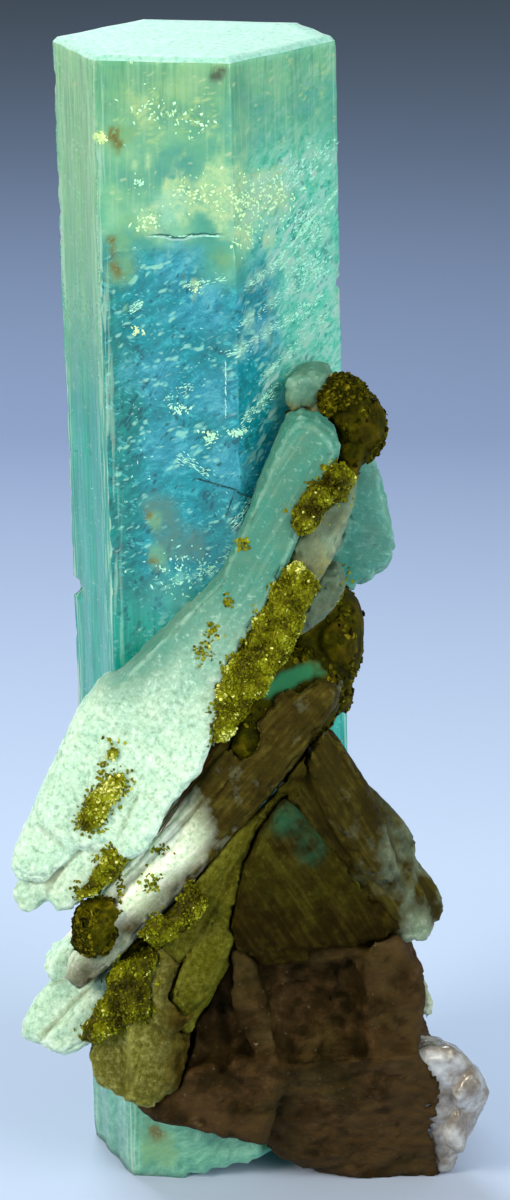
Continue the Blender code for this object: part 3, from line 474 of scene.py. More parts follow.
cap_end = len(prism_faces)
below = [0, top_point + 1, top_point + 1 + wide]
for high_ring, low_ring in zip(below, below[1:]):
    prism_faces += [(high_ring + (i + 1) % wide, high_ring + i, low_ring + i, low_ring + (i + 1) % wide)
                    for i in range(wide)]
foot_point = top_point + 1 + 2 * wide
prism_faces += [(below[-1] + (i + 1) % wide, below[-1] + i, foot_point) for i in range(wide)]
paint = np.zeros(len(prism_faces), int)
paint[len(column_faces) - 3 * wide:cap_end] = 1        # the flat end and its rim have the frosted finish
print("prism:", len(prism_points), "points,", len(prism_faces), "faces")

# %% [markdown]
# ## The aquamarine crystal: colour zones
# The colour isn't even. The heart of the crystal is a clear blue, the upper end is grey-green and clouded,
# the right side is mint and full of healed cracks, and the lower end is a deeper sea green. The mint of the
# right side is also painted lighter for the light on that side. A pale yellow cloud lies under the front
# face, and iron has stained a few places brown. Pale lines along the edges are painted highlights, and the
# crystal is painted nearly black where it lies behind the blades, as painted shade in the gaps between them.
# Each zone is worked out from the place of a point on the crystal, with noise for its edges, and is stored on
# the mesh for the material.

# %% Streaks of healed cracks
STREAKS = [  # from, to (x, z on the crystal in mm), how wide, how many, how pale
    ((7.8, 95.6), (1.8, 90.2), 0.25, 170, 0.55), ((7.4, 94.2), (2.4, 89.6), 0.15, 90, 0.55),
    ((7.0, 92.6), (2.8, 88.6), 0.7, 90, 0.5), ((6.4, 88.6), (-1.6, 85.2), 0.7, 110, 0.5),
    ((6.4, 86.0), (-2.6, 82.6), 0.6, 100, 0.5), ((3.0, 90.6), (-1.0, 88.6), 0.6, 70, 0.55),
    ((7.0, 84.0), (0.5, 79.5), 0.7, 110, 0.5), ((3.6, 79.8), (-1.2, 76.2), 0.5, 70, 0.55),
    ((-2.6, 82.0), (-2.6, 76.6), 0.1, 60, 0.4), ((-1.4, 75.4), (2.0, 78.2), 0.9, 70, 0.5),
    ((-8.4, 78.2), (-5.6, 79.6), 0.7, 50, 0.5), ((-4.4, 74.2), (-3.2, 74.8), 0.7, 40, 0.55),
    ((-9.6, 93.6), (-3.0, 93.8), 0.1, 50, 0.5), ((0.5, 69.5), (-2.0, 66.0), 1.0, 80, 0.5),
    ((-5.0, 61.5), (-1.5, 63.5), 1.0, 70, 0.5), ((-6.6, 89.0), (-2.2, 90.0), 0.3, 60, 0.55),
    ((-11.4, 86.6), (-10.2, 87.4), 0.5, 40, 0.5), ((-7.0, 73.0), (-4.0, 71.0), 0.9, 60, 0.5),
    ((-5.2, 70.7), (-1.8, 69.8), 0.1, 50, 0.0), ((-1.8, 69.8), (0.8, 68.0), 0.1, 50, 0.0),
    ((-1.8, 69.6), (-2.6, 67.2), 0.1, 24, 0.0)]
RIGHT_STREAKS = 8        # the first ones lie on the right and have milky spots along them
AHEAD, BACKWARD = -60.0, (0, 1, 0)           # rays start this far in front, in mm, and run straight back
streak_spots = []
for (x0, z0), (x1, z1), spread, *_ in STREAKS[:RIGHT_STREAKS]:
    for run in (0.1, 0.35, 0.6, 0.85):
        px, pz = x0 + (x1 - x0) * run, z0 + (z1 - z0) * run
        front, *_ = strike((px, AHEAD, pz), BACKWARD)
        if front is not None:
            streak_spots.append((px, front.y, pz, 0.5 + 0.8 * spread))
print(len(streak_spots), "milky spots along the streaks")

# %% Places of the zones
SPOTS = {  # (x, y, z, radius) in mm
    "rust": [(-12.6, -8.1, 102.6, 1.5), (-13.0, -8.1, 92.9, 1.5), (-12.8, -8.1, 90.3, 1.6),
             (-9.7, -8.4, 66.6, 0.9), (-9.3, -8.5, 63.2, 1.0), (-9.9, -8.0, 3.6, 2.2),
             (-1.2, -9.4, 65.4, 0.9), (-3.2, -9.4, 91.6, 1.3), (6.2, 4.6, 98.0, 1.5),
             (4.4, 10.2, 84.0, 1.8), (-9.0, 11.9, 96.0, 1.7), (-15.5, 5.4, 88.0, 1.5),
             (-6.0, 12.2, 72.0, 1.6), (7.6, 5.0, 60.0, 1.6), (-12.0, 9.6, 52.0, 1.8),
             (-1.0, 11.5, 44.0, 1.7)],
    "cloud": [(-5.6, -9.3, 97.6, 2.8), (-2.4, -9.6, 97.4, 3.8), (0.6, -7.0, 96.6, 3.4),
              (2.2, -4.6, 97.0, 2.4), (-1.0, -9.0, 94.0, 2.2), (-9.6, -8.5, 94.8, 1.5),
              (-14.0, -8.0, 102.7, 1.0), (1.4, -6.0, 92.6, 1.0), (-3.0, 11.6, 97.0, 2.6),
              (-1.0, 11.5, 95.4, 2.0), (-5.6, 11.8, 95.8, 1.8), (4.4, 10.2, 90.0, 1.4)],
    "grey": [(-8.9, -8.6, 67.6, 2.4), (-8.0, -8.7, 65.2, 2.2), (-6.0, -9.0, 64.4, 2.2),
             (-2.2, -9.5, 59.6, 1.8)],
    "freckle": [(-9.0, -8.6, 105.6, 4.2), (-5.2, -9.2, 104.6, 3.4), (5.6, 0.6, 106.0, 2.6),
                (-4.0, 12.0, 104.0, 5.0)],
    "milk": [(0.6, -7.2, 97.6, 2.8), (3.2, -2.6, 97.4, 2.4), (5.6, 1.4, 98.6, 1.8), (1.4, -5.8, 93.8, 1.8),
             (-7.4, -8.9, 97.0, 1.8), (-12.0, 9.8, 92.0, 3.4), (2.0, 11.4, 88.0, 3.4),
             (7.8, 6.6, 86.0, 3.0), (-12.0, 9.8, 78.0, 2.4), (7.4, 6.0, 76.0, 2.6),
             (-6.0, 12.2, 66.0, 2.6)],
    "azure": [(-7.0, -9.0, 91.0, 3.2), (-4.6, -9.3, 87.0, 3.6), (-9.4, -8.5, 80.5, 3.4),
              (-4.0, -9.4, 78.6, 3.6), (1.0, -6.8, 84.0, 2.6), (-7.6, -8.8, 73.6, 3.8),
              (-2.0, -9.4, 72.0, 3.6), (-4.0, 12.0, 84.0, 5.0)],
    "ochre": [(-12.9, -8.1, 102.9, 0.9), (-12.4, -8.2, 101.9, 0.7), (-13.1, -8.1, 92.9, 0.8),
              (-12.8, -8.1, 90.6, 0.9), (-13.0, -8.1, 91.6, 0.6), (-9.9, -8.5, 67.2, 0.6),
              (-9.5, -8.5, 62.6, 0.7), (-6.4, -9.0, 90.2, 0.5), (-9.4, -8.0, 4.6, 1.4),
              (4.4, 10.2, 84.0, 0.9), (-9.0, 11.9, 96.0, 0.9), (-15.5, 5.4, 88.0, 0.7),
              (-1.8, -9.4, 55.4, 0.6), (7.2, 4.6, 100.6, 0.8)],
    "smut": [(-3.5, -9.5, 108.5, 0.9), (-2.9, -9.5, 108.9, 0.7)],
}
# Bands round the crystal are (from, to, strength), counted in mm from the left end of the front face.
BANDS = {
    "heart": ((-1.0, 18.8, 1.0), (38.0, 49.0, 0.9), (53.0, 62.0, 0.75)),
    "teal": ((-3.0, 2.6, 0.8), (9.5, 12.0, 0.35), (36.0, 40.0, 0.6)),
    "mint": ((14.0, 29.5, 1.0), (31.0, 38.0, 0.7), (48.0, 55.0, 0.6), (61.0, 65.0, 0.5)),
    "left": ((65.4, 76.0, 1.0),),
    # The two edge bands carry painted highlights along the left edges.
    "front left edge": ((74.2, 80.0, 1.0),),
    "back left edge": ((64.0, 66.4, 1.0),),
}
print(sum(len(places) for places in SPOTS.values()), "spots and", len(BANDS), "sets of bands")


# %% Colour zones
def band(around, which, soft):
    """The strongest of several bands at each place round the crystal."""
    found = [most * ease((around - start) / soft + 0.5) * ease((end - around) / soft + 0.5)
             for start, end, most in BANDS[which]]
    return np.max(found, axis=0)


def between(value, low, high, soft):
    """1 between low and high and 0 beyond them; the fades are soft mm wide and lie inside."""
    return ease((value - low) / soft) * ease((high - value) / soft)


def crystal_zones(points, around):
    """The share of each colour zone at each point."""
    x, z = points[:, 0], points[:, 2]
    drift, ragged = layers(points, 9.0, 41), layers(points, 2.4, 43)
    wander = 4.0 * drift + 3.0 * ragged
    corner_gap = np.min(np.abs(around[None, :] - CORNERS_AT[:, None]), axis=0)
    right_drift = 3.0 * drift * (around > 12.0)
    return {
        "heart": ease((z - 50.0 + 6.0 * drift + 3.0 * ragged) / 12.0) * ease((93.5 - z + wander) / 5.0)
        * band(around + right_drift + 1.4 * ragged, "heart", 4.0),
        "teal": ease((z - 52.0) / 8.0) * ease((92.0 - z + wander) / 6.0)
        * band(around + 2.0 * drift + 1.4 * ragged, "teal", 3.0),
        "mint": band(around + 3.0 * drift + 1.5 * ragged, "mint", 6.0) * ease((z - 48.0) / 14.0)
        * (0.25 + 0.75 * ease((104.0 - z + 3.0 * drift) / 8.0)) * (around < 65.2),
        "top": ease((z - 92.0 + 5.0 * drift) / 8.0),
        "crown": ease((z - 102.5 + 2.5 * drift + 2.0 * ragged) / 4.0),
        "low": np.maximum(ease((61.0 - z + 4.0 * drift + 2.0 * ragged) / 6.0),
                          band(around, "left", 1.2) * ease((84.0 - z + 4.0 * drift) / 12.0)),
        "base": ease((14.0 - z) / 8.0),
        # Painted shade: the crystal is painted nearly black where it lies behind the blades, so gaps between
        # them look shaded.
        "painted_shade_behind_blades": between(x, -6.0, 4.5, 1.5) * between(z, 14.0, 46.5, 2.0) * (around < 22.0),
        "cloud": spots(points, SPOTS["cloud"], 1.1, 61),
        "rust": spots(points, [(x + 0.5, y, z, 1.2 * r) for x, y, z, r in SPOTS["rust"]], 0.9, 62),
        "ochre": spots(points, SPOTS["ochre"], 0.8, 68),
        "grey": spots(points, SPOTS["grey"], 0.5, 63),
        "smut": spots(points, SPOTS["smut"], 0.4, 64),
        "crack": between(x, -10.2, -2.4, 1.5) * (around < 12.5),
        "azure": 0.75 * spots(points, SPOTS["azure"], 0.7, 65),
        "freckle": spots(points, SPOTS["freckle"], 0.7, 66),
        "milk": spots(points, SPOTS["milk"] + streak_spots, 0.9, 67),
        "leftface": band(around, "left", 1.2) * (0.12 + 0.88 * ease((z - 74.0 + 4.0 * drift) / 30.0)),
        # corner: painted highlights, pale lines along the crystal's edges.
        "corner": ease(1.0 - corner_gap / 1.5) * (np.abs(around - 12.5) > 2.0)
        + 0.8 * band(around, "front left edge", 1.0) + 0.6 * band(around, "back left edge", 0.8),
    }


spare = np.zeros(len(prism_points) - len(net))         # the points of the flat end and the foot
zones = crystal_zones(prism_points, np.concatenate([along[step], spare]))
zones["broken"] = np.concatenate([broken, spare])
print("colour zones:", ", ".join(zones))

# %% [markdown]
# ## The aquamarine crystal: material
# Aquamarine is a clear beryl with an IOR of 1.577. Much of the light goes in, the body takes out the red, and
# what comes back is blue-green. So the shader is half transmission, with an absorbing inside that sets the
# depth of colour, while the clouded share keeps a colour of its own. Over the tone of each zone lie marks:
# dashes for healed cracks about 0.6 to 2 mm long, upright streaks 0.35 mm wide for growth lines, and crumbs
# about 0.6 mm across for stains and clouds. The same pale streaks along the edges are painted highlights,
# and a dark wash behind the blades is painted shade.

# %% Tones and marks of the beryl
BODY_COLOUR = "#5CD8DC"  # the tint that light takes on inside, stronger the further it goes
DASHES = {  # how they are turned, in radians, and their size in mm
    "level": ((0.0, -0.5, 0.0), (1.1, 1.1, 0.5)), "fine": ((0.0, 0.3, 0.0), (0.6, 0.6, 0.28)),
    "slant": ((0.0, -0.75, 0.2), (2.2, 1.8, 0.6)), "dark": ((0.0, -0.9, 0.0), (0.9, 0.9, 0.45))}
GROUND = ("mottle", (0.32, "#46B09E"), (0.5, "#6CC8AA"), (0.68, "#98E0BC"))
TONES = {  # zone: the noise that picks its colour, and the colours
    "top": ("mottle", (0.34, "#62BAA8"), (0.5, "#7ECCA8"), (0.66, "#A2E0AE")),
    "crown": ("mottle", (0.34, "#7CC49E"), (0.5, "#90D2A0"), (0.66, "#AEE0AA")),
    # The mint is the right side's own colour, painted lighter as well for the light on that side.
    "mint": ("grain", (0.33, "#30B8A2"), (0.46, "#6CEAC6"), (0.59, "#BCFFE6")),
    "heart": ("grain", (0.30, "#00727E"), (0.43, "#0092A0"), (0.54, "#02A6B6"), (0.7, "#4CD6DE")),
    "teal": ("grain", (0.32, "#006E70"), (0.5, "#00908A"), (0.68, "#20B4A4")),
    "azure": ("grain", (0.32, "#1090A8"), (0.5, "#38B2CC"), (0.66, "#80DCEC")),
    "low": ("streaks", (0.35, "#00A296"), (0.5, "#04BAAA"), (0.66, "#26D0BC")),
    "leftface": ("streaks", (0.34, "#9CD4A8"), (0.5, "#ACE6B4"), (0.66, "#C2F4C4")),
    "base": ("grain", (0.35, "#5CB09E"), (0.5, "#80D2B6"), (0.64, "#A8EECF")),
}
MARKS = [  # the noise, where it starts and is full, how strong it gets, in which zone, and its colour
    ("dark", 0.34, 0.12, 0.85, "heart", "#00606E"), ("level", 0.33, 0.10, 0.85, "heart", "#A4F4E4"),
    ("fine", 0.34, 0.08, 0.7, "heart", "#5CDCE4"), ("slant", 0.40, 0.14, 0.9, "mint", "#D4FFEC"),
    ("dark", 0.36, 0.14, 0.7, "mint", "#2C9C94"), ("level", 0.24, 0.08, 0.6, "top", "#DCEFBE"),
    ("level", 0.46, 0.18, 0.85, "freckle", "#CCF0A8"), ("fine", 0.42, 0.20, 0.7, "freckle", "#B4E494"),
    ("fine", 0.22, 0.08, 0.5, "low", "#9FE0D0"), ("streaks", 0.62, 0.72, 0.35, "leftface", "#D4F8D8"),
    # The pale streaks on corner are painted highlights along the edges.
    ("crumbs", 0.54, 0.34, 0.3, "leftface", "#78AE98"), ("streaks", 0.50, 0.60, 0.6, "corner", "#D0F8DC"),
    ("streaks", 0.54, 0.64, 0.4, "top", "#BCE8C4"), ("streaks", 0.44, 0.36, 0.35, "crown", "#5E9C80"),
    ("fine", 0.30, 0.12, 0.6, "leftface", "#DCFAE6"), ("slant", 0.24, 0.08, 0.8, "milk", "#EAFFF2"),
    ("mottle", 0.30, 0.55, 0.6, "cloud", "#BEF2BE"), ("crumbs", 0.36, 0.62, 0.9, "cloud", "#E2FFC0"),
    ("grain", 0.3, 0.6, 0.75, "milk", "#C8FFE0"), ("crumbs", 0.2, 0.55, 0.9, "grey", "#5E9488"),
    ("crumbs", 0.15, 0.50, 0.65, "rust", "#98CC88"), ("crumbs", 0.36, 0.50, 0.9, "ochre", "#857610"),
    # The last mark here is painted shade, nearly black where the crystal lies behind the blades.
    ("crumbs", 0.20, 0.50, 0.9, "smut", "#5E6650"), ("mottle", 0.0, 0.1, 0.92, "painted_shade_behind_blades", "#141406"),
    ("mottle", 0.40, 0.60, 0.6, "broken", "#9CD6BC"),
    # One level crack over the heart: a thin dark line with a pale lip under it
    ("lip above", 0.13 * MM, 0.05 * MM, 0.9, "crack", "#1C5A5C"),
    ("lip below", 0.13 * MM, 0.05 * MM, 0.9, "crack", "#C6F2EC")]
FROST = [(0.34, "#86CDB6"), (0.46, "#A9EBD6"), (0.6, "#C4FBEA")]
print(len(TONES), "zone tones and", len(MARKS), "marks")


# %% Textures of the beryl
def beryl_noises(tree, place):
    """The noises that its tones are picked by, the fine relief, and the places swayed a little."""
    tall = add(tree, "Mapping", {"Vector": place, "Scale": (per_mm(0.35), per_mm(0.35), per_mm(7.0))})
    bent = add(tree, "TexNoise", {"Vector": place, "Scale": per_mm(2.2), "Detail": 2.0})
    bend = add(tree, "VectorMath", {0: bent.outputs["Color"], "Scale": 1.5 * MM}, operation="SCALE")
    swayed = add(tree, "VectorMath", {0: place, 1: bend.outputs[0]}, operation="ADD").outputs[0]
    brush = add(tree, "Mapping", {"Vector": swayed, "Rotation": (0.0, -0.6, 0.0),
                                  "Scale": (1.9 * MM, 1.9 * MM, 0.8 * MM)}, vector_type="TEXTURE")
    table = {"mottle": (place, per_mm(3.6), 5.0, 0.6), "crumbs": (place, per_mm(0.6), 4.0, 0.7),
             "streaks": (tall.outputs[0], 1.0, 4.0, 0.5), "grain": (brush.outputs[0], 1.0, 8.0, 0.75),
             "relief": (place, per_mm(0.6), 6.0, 0.7)}
    noise = {key: add(tree, "TexNoise", dict(zip(NOISE, row))).outputs[0] for key, row in table.items()}
    return noise, swayed


def beryl_dashes(tree, swayed):
    """The textures that its marks are picked by."""
    dashes = {}
    for key, (turn, size) in DASHES.items():         # cells drawn out to dashes, crowded in some places
        laid = add(tree, "Mapping", {"Vector": swayed, "Rotation": turn,
                                     "Scale": tuple(s * MM for s in size)}, vector_type="TEXTURE").outputs[0]
        cells = add(tree, "TexVoronoi", {"Vector": laid, "Scale": 1.0})
        crowd = add(tree, "TexNoise", {"Vector": laid, "Scale": 0.3, "Detail": 4.0, "Roughness": 0.65})
        lift = add(tree, "Math", {0: crowd.outputs[0], 1: -2.2, 2: 1.18}, operation="MULTIPLY_ADD")
        both = add(tree, "Math", {0: cells.outputs["Distance"], 1: lift.outputs[0]}, operation="ADD")
        dashes[key] = both.outputs[0]
    height = add(tree, "SeparateXYZ", {0: swayed}).outputs["Z"]
    for key, level in (("lip above", 94.55), ("lip below", 94.3)):       # mm
        off = add(tree, "Math", {0: height, 1: level * MM}, operation="SUBTRACT")
        dashes[key] = add(tree, "Math", {0: off.outputs[0]}, operation="ABSOLUTE").outputs[0]
    return dashes


# %% Beryl, natural growth faces
def beryl_colour(tree, noise, zone):
    """The tone of each zone over the ground, and then the marks."""
    ground = add(tree, "ValToRGB", {0: noise[GROUND[0]]}, stops=GROUND[1:])
    washes = []
    for key, (pick, *stops) in TONES.items():
        washes.append((zone[key], add(tree, "ValToRGB", {0: noise[pick]}, stops=stops).outputs[0]))
    for pick, start, full, most, key, wash in MARKS:
        level = add(tree, "MapRange", dict(zip(RANGE, (noise[pick], start, full, 0.0, most))))
        where = add(tree, "Math", {0: level.outputs[0], 1: zone[key]}, operation="MULTIPLY")
        washes.append((where.outputs[0], wash))
    return washed(tree, ground.outputs[0], washes)


def beryl_material(name, frosted):
    """Clear beryl; frosted is for the matte flat end."""
    keys = ["leftface"] if frosted else list(zones)
    material, tree, *read = new_material(name, *keys)
    zone = dict(zip(keys, read))
    place = add(tree, "TexCoord").outputs["Object"]
    noise, swayed = beryl_noises(tree, place)
    if frosted:
        frost = add(tree, "TexNoise", dict(zip(NOISE, (place, per_mm(0.5), 5.0, 0.7))))
        colour = add(tree, "ValToRGB", {0: frost.outputs[0]}, stops=FROST).outputs[0]
    else:
        colour = beryl_colour(tree, noise | beryl_dashes(tree, swayed), zone)
    tooth = add(tree, "Bump", {"Height": noise["relief"], "Strength": 0.5 if frosted else 0.22,
                               "Distance": 0.06 * MM})
    lines = add(tree, "Bump", {"Height": noise["streaks"], "Normal": tooth.outputs[0],
                               "Strength": 0.0 if frosted else 0.35, "Distance": 0.08 * MM})
    smooth, dull = (0.45, 0.7) if frosted else (0.07, 0.24)
    gloss = add(tree, "MapRange", dict(zip(RANGE, (noise["relief"], 0.3, 0.7, smooth, dull))))
    rough = add(tree, "Math", {0: zone["leftface"], 1: 0.3, 2: gloss.outputs[0]}, operation="MULTIPLY_ADD")
    beryl = add(tree, "BsdfPrincipled", {
        "Base Color": colour, "Roughness": rough.outputs[0], "IOR": 1.577, "Normal": lines.outputs[0],
        "Transmission Weight": 0.35 if frosted else 0.5, "Subsurface Weight": 0.7,
        "Subsurface Radius": (0.7, 1.2, 1.2), "Subsurface Scale": 2.5 * MM})
    inside = add(tree, "VolumeAbsorption", {"Color": linear(BODY_COLOUR), "Density": 60.0})
    add(tree, "OutputMaterial", {"Surface": beryl.outputs[0], "Volume": inside.outputs[0]})
    return material


beryl = beryl_material("beryl clear growth faces", frosted=False)
beryl_end = beryl_material("beryl frosted flat end", frosted=True)
make_piece("aquamarine", prism_points, prism_faces, [beryl, beryl_end], ["aquamarine_crystal"],
           zones, paint=paint)

# %% [markdown]
# ## Healed cracks in the crystal
# The sparkle comes from healed cracks, small films of tiny gas bubbles at the faces and just under them. Most
# climb gently to the right. They stand steeper and in streaks on the right side, dense yellowish ones make
# the pale cloud, and dark ones trace a curved crack above the front blade. A bump can't lie under a clear
# face, so each film is a thin closed flake, an eight-sided lozenge, and thousands are joined in one mesh.

# %% Where the flakes crowd
FLAKES = 6000
BLOTCHES = [  # (x, z), (half width, half height), how many, how pale
    ((-5.2, 97.4), (2.2, 1.4), 60, 0.85), ((-1.6, 97.2), (2.2, 1.6), 90, 0.85),
    ((1.6, 96.6), (1.7, 1.8), 120, 0.8), ((-0.2, 93.6), (1.4, 1.4), 50, 0.8),
    ((-9.8, 95.0), (1.5, 0.8), 40, 0.8), ((-14.0, 102.7), (0.5, 0.35), 60, 1.0),
    ((-9.0, 105.4), (2.2, 1.4), 40, 0.7), ((-5.6, 104.6), (2.0, 1.6), 30, 0.7),
    ((-10.6, 98.6), (0.5, 0.5), 16, 0.6), ((-5.2, 88.8), (0.5, 0.4), 16, 0.9),
    ((-4.0, 75.0), (0.7, 0.5), 30, 0.7), ((-7.0, 77.4), (0.8, 0.5), 40, 0.55),
    ((-1.6, 75.2), (0.8, 0.4), 40, 0.6), ((3.6, 98.2), (1.8, 1.2), 110, 0.5),
    ((4.6, 93.0), (1.6, 1.8), 120, 0.5), ((6.4, 99.6), (1.0, 1.4), 50, 0.5),
    ((5.6, 89.0), (1.2, 1.6), 70, 0.5), ((4.6, 84.6), (1.6, 1.4), 60, 0.5),
    ((-6.4, 61.4), (2.8, 2.0), 110, 0.45), ((4.2, 88.6), (1.4, 1.2), 70, 0.5),
    ((-10.6, 84.6), (0.4, 0.4), 14, 0.9)]
RIGHT_SIDE = 3.0         # mm; blotches right of this x are steep and orderly


def inside_crystal(side, share, height, depth):
    """Places at a share of the way along a side face, at a height, and depth mm under it."""
    level = ((height - AXIS_FOOT[2]) / (AXIS_TOP[2] - AXIS_FOOT[2]))[:, None]
    axis = AXIS_FOOT[:2] + (AXIS_TOP - AXIS_FOOT)[:2] * level
    start, end = corners[side], corners[(side + 1) % 6]
    inward = np.column_stack([-(end - start)[:, 1], (end - start)[:, 0]])
    inward /= np.linalg.norm(inward, axis=1, keepdims=True)
    flat = (start + (end - start) * share[:, None]) * 0.985 + inward * depth[:, None]
    return np.column_stack([axis + flat, height])


def on_the_front(x, z, tuck=(-0.05, 0.03)):
    """Places on the front of the crystal at each (x, z), a little in or out of its face."""
    found = [strike((px, AHEAD, pz), BACKWARD)[0] for px, pz in zip(x, z)]
    return np.array([(p.x, p.y + rng.uniform(*tuck), p.z) for p in found if p is not None]).reshape(-1, 3)


# A set is its places, their facing, how steeply they climb, how loose they lie, length, width and paleness.
rng = np.random.default_rng(3)
side = rng.choice(6, FLAKES, p=[0.30, 0.26, 0.10, 0.16, 0.14, 0.04])
share = rng.uniform(0.06, 0.94, FLAKES)
in_heart = rng.random(FLAKES) < 0.78
height = np.where(in_heart, rng.triangular(57.0, 74.0, 97.0, FLAKES), rng.uniform(40, 108, FLAKES))
depth = 5.0 * rng.random(FLAKES) ** 2.2 - 0.02
places = inside_crystal(side, share, height, depth)
clustered = ripple(places, (4.0, 4.0, 3.0), 77) + 0.6 * rng.random(FLAKES) > 0.1
places, side = places[clustered], side[clustered]
face_turn = np.radians(FRONT_TURN + 60.0 * side)
facing = np.column_stack([np.sin(face_turn), -np.cos(face_turn), np.zeros(len(places))])
facing = facing + rng.normal(0, 0.35, (len(places), 3))
sets = [(places, facing, 0.55, np.where(rng.random(len(places)) < 0.7, 0.3, 3.0), 0.8, 0.9, 0.25)]
for (x0, z0), (x1, z1), spread, count, pale in STREAKS:
    run = rng.random(count)
    found = on_the_front(x0 + (x1 - x0) * run, z0 + (z1 - z0) * run + rng.normal(0, spread * 0.4, count))
    steep = 0.7 * np.clip((z1 - z0) / (x1 - x0 or 0.01), -6.0, 6.0)
    sets.append((found, None, steep, np.full(len(found), 0.25), 1.0, 0.6, pale))
for (x, z), (wide_half, high_half), count, pale in BLOTCHES:
    found = on_the_front(x + wide_half * rng.normal(0, 0.6, count), z + high_half * rng.normal(0, 0.6, count))
    if x > RIGHT_SIDE:
        sets.append((found, None, 0.9, np.full(len(found), 0.3), 1.0, 1.1, 0.8 * pale))
    else:
        sets.append((found, None, 0.5, np.full(len(found), 1.2), 0.75, 1.7, pale))
places = np.vstack([s[0] for s in sets])
facing = np.vstack([s[0] * 0 + (0.35, -0.9, 0.0) + rng.normal(0, 0.3, s[0].shape) if s[1] is None else s[1]
                    for s in sets])
rise, longer, wider, bright = (np.concatenate([np.full(len(s[0]), s[i]) for s in sets]) for i in (2, 4, 5, 6))
loose = np.concatenate([s[3] for s in sets])
count = len(places)
print(count, "flakes of healed cracks")


# %% Healed cracks
def flakes(places, facing, rise, loose, length, width, thick):
    """Thin closed lozenges at places, across their facing direction; rise is how steeply they climb."""
    count = len(places)
    facing = facing / np.linalg.norm(facing, axis=1, keepdims=True)
    # most climb along the face as told, and the looser ones lie at any angle
    lying = rng.normal(size=(count, 3)) * loose[:, None]
    first = np.column_stack([-facing[:, 1], facing[:, 0], rise]) + lying * (1.0 + np.abs(rise[:, None])) * 0.6
    first -= facing * (first * facing).sum(axis=1, keepdims=True)
    first /= np.linalg.norm(first, axis=1, keepdims=True)
    second = np.cross(facing, first)
    first, second, facing = first * length[:, None], second * width[:, None], facing * thick
    tips = np.stack([first, second, -first, -second, facing, -facing], axis=1) / 2
    points = (places[:, None, :] + tips).reshape(-1, 3)
    pattern = np.array([(i, (i + 1) % 4, 4) for i in range(4)] + [((i + 1) % 4, i, 5) for i in range(4)])
    return points, (np.arange(count)[:, None, None] * 6 + pattern).reshape(-1, 3)


length, width = rng.uniform(0.2, 0.9, count) * longer, rng.uniform(0.07, 0.2, count) * wider      # mm
points, faces = flakes(places, facing, rise, loose, length, width, 0.05)
crack_material, tree, brightness = new_material("healed crack mirror-like gas film", "bright")
# A gas film is bright and silky from one side, so it is pale and fairly smooth; the darkest are shadows
shade = add(tree, "ValToRGB", {0: brightness}, stops=[
    (0.0, "#0C3E44"), (0.25, "#8ED2C6"), (0.5, "#A8E8D2"), (1.0, "#CFEBA6")])
glance = add(tree, "BsdfPrincipled", {"Base Color": shade.outputs[0], "Roughness": 0.35, "IOR": 1.45})
add(tree, "OutputMaterial", {"Surface": glance.outputs[0]})
make_piece("healed_cracks", points, faces, [crack_material],
           fields={"bright": bright.repeat(6).astype(float)}, flat=slice(None))

# %% [markdown]
# ## Weathering a blade
# Albite in this habit grows as flat blades stacked like leaves. Their broad faces are silky, with ledges
# where one leaf ends and fine lines along the blade, and their edges are ragged like sugar. The lines run
# another way on each blade, so each piece first gets its own axes from the spread of its points: the longest
# is taken as the way the blade grew. The same axes go to the material, which stretches its streaks.

# %% Axes, ledges and sugary edges
SWELL = 0.11             # mm; closes most of the clearance that the solids keep between each other
# Painted highlights: pale spots where fresh cleavage faces catch the light.
PAINTED_HIGHLIGHTS = [  # fresh cleavage faces that catch the light, as (x, y, z, radius) in mm
    (-9.2, -15.3, 36.4, 1.3), (-8.3, -15.2, 37.7, 1.3), (-10.2, -15.4, 35.4, 1.0), (-7.4, -15.6, 38.4, 0.9),
    (-12.6, -15.4, 32.4, 0.8), (-17.6, -14.6, 24.4, 0.8), (-16.4, -14.0, 19.0, 0.8)]


def growth_axes(points, along=None):
    """Rows are the directions along, across and through a blade."""
    spread = np.linalg.svd(np.cov((points - points.mean(axis=0)).T))[0]
    first = np.array(along if along is not None else spread[:, 0], float)
    first /= np.linalg.norm(first)
    third = spread[:, 2] - first * spread[:, 2].dot(first)
    third /= np.linalg.norm(third)
    return np.array([first, np.cross(third, first), third])


def weathered(node, grain, seed, wave=0.12, lines=0.05, ledge=0.14, sugar=0.05, along=None):
    """A blade's net with its relief, its faces, and fields for its material. The four depths are in mm."""
    points, faces, normals = fine_net(node, grain)
    outer = standing_out(points, faces, normals, 0.10)
    own = points @ growth_axes(points, along).T
    push = SWELL + wave * layers(points, 4.0, seed, 2)
    push += lines * (ripple(own, (9.0, 0.8, 0.8), seed + 1) + 0.7 * ripple(own, (16.0, 1.9, 1.9), seed + 2))
    push += ledge * stepped(2.5 * layers(own, (9.0, 2.6, 2.6), seed + 3, 2), 6.0) * 0.5
    push += sugar * (ripple(points, 0.55, seed + 4) + ripple(points, 1.1, seed + 5))
    ragged = layers(points, 0.9, seed + 6, 2) + 0.9 * layers(points, 2.6, seed + 8, 2)
    push -= np.maximum(outer, 0.0) * 0.55 * ease(0.35 + 1.3 * ragged)
    fields = {"grain": own, "edge": outer, "painted_highlight": spots(points, PAINTED_HIGHLIGHTS, 0.5, 81)}
    return points + normals * push[:, None], faces, fields


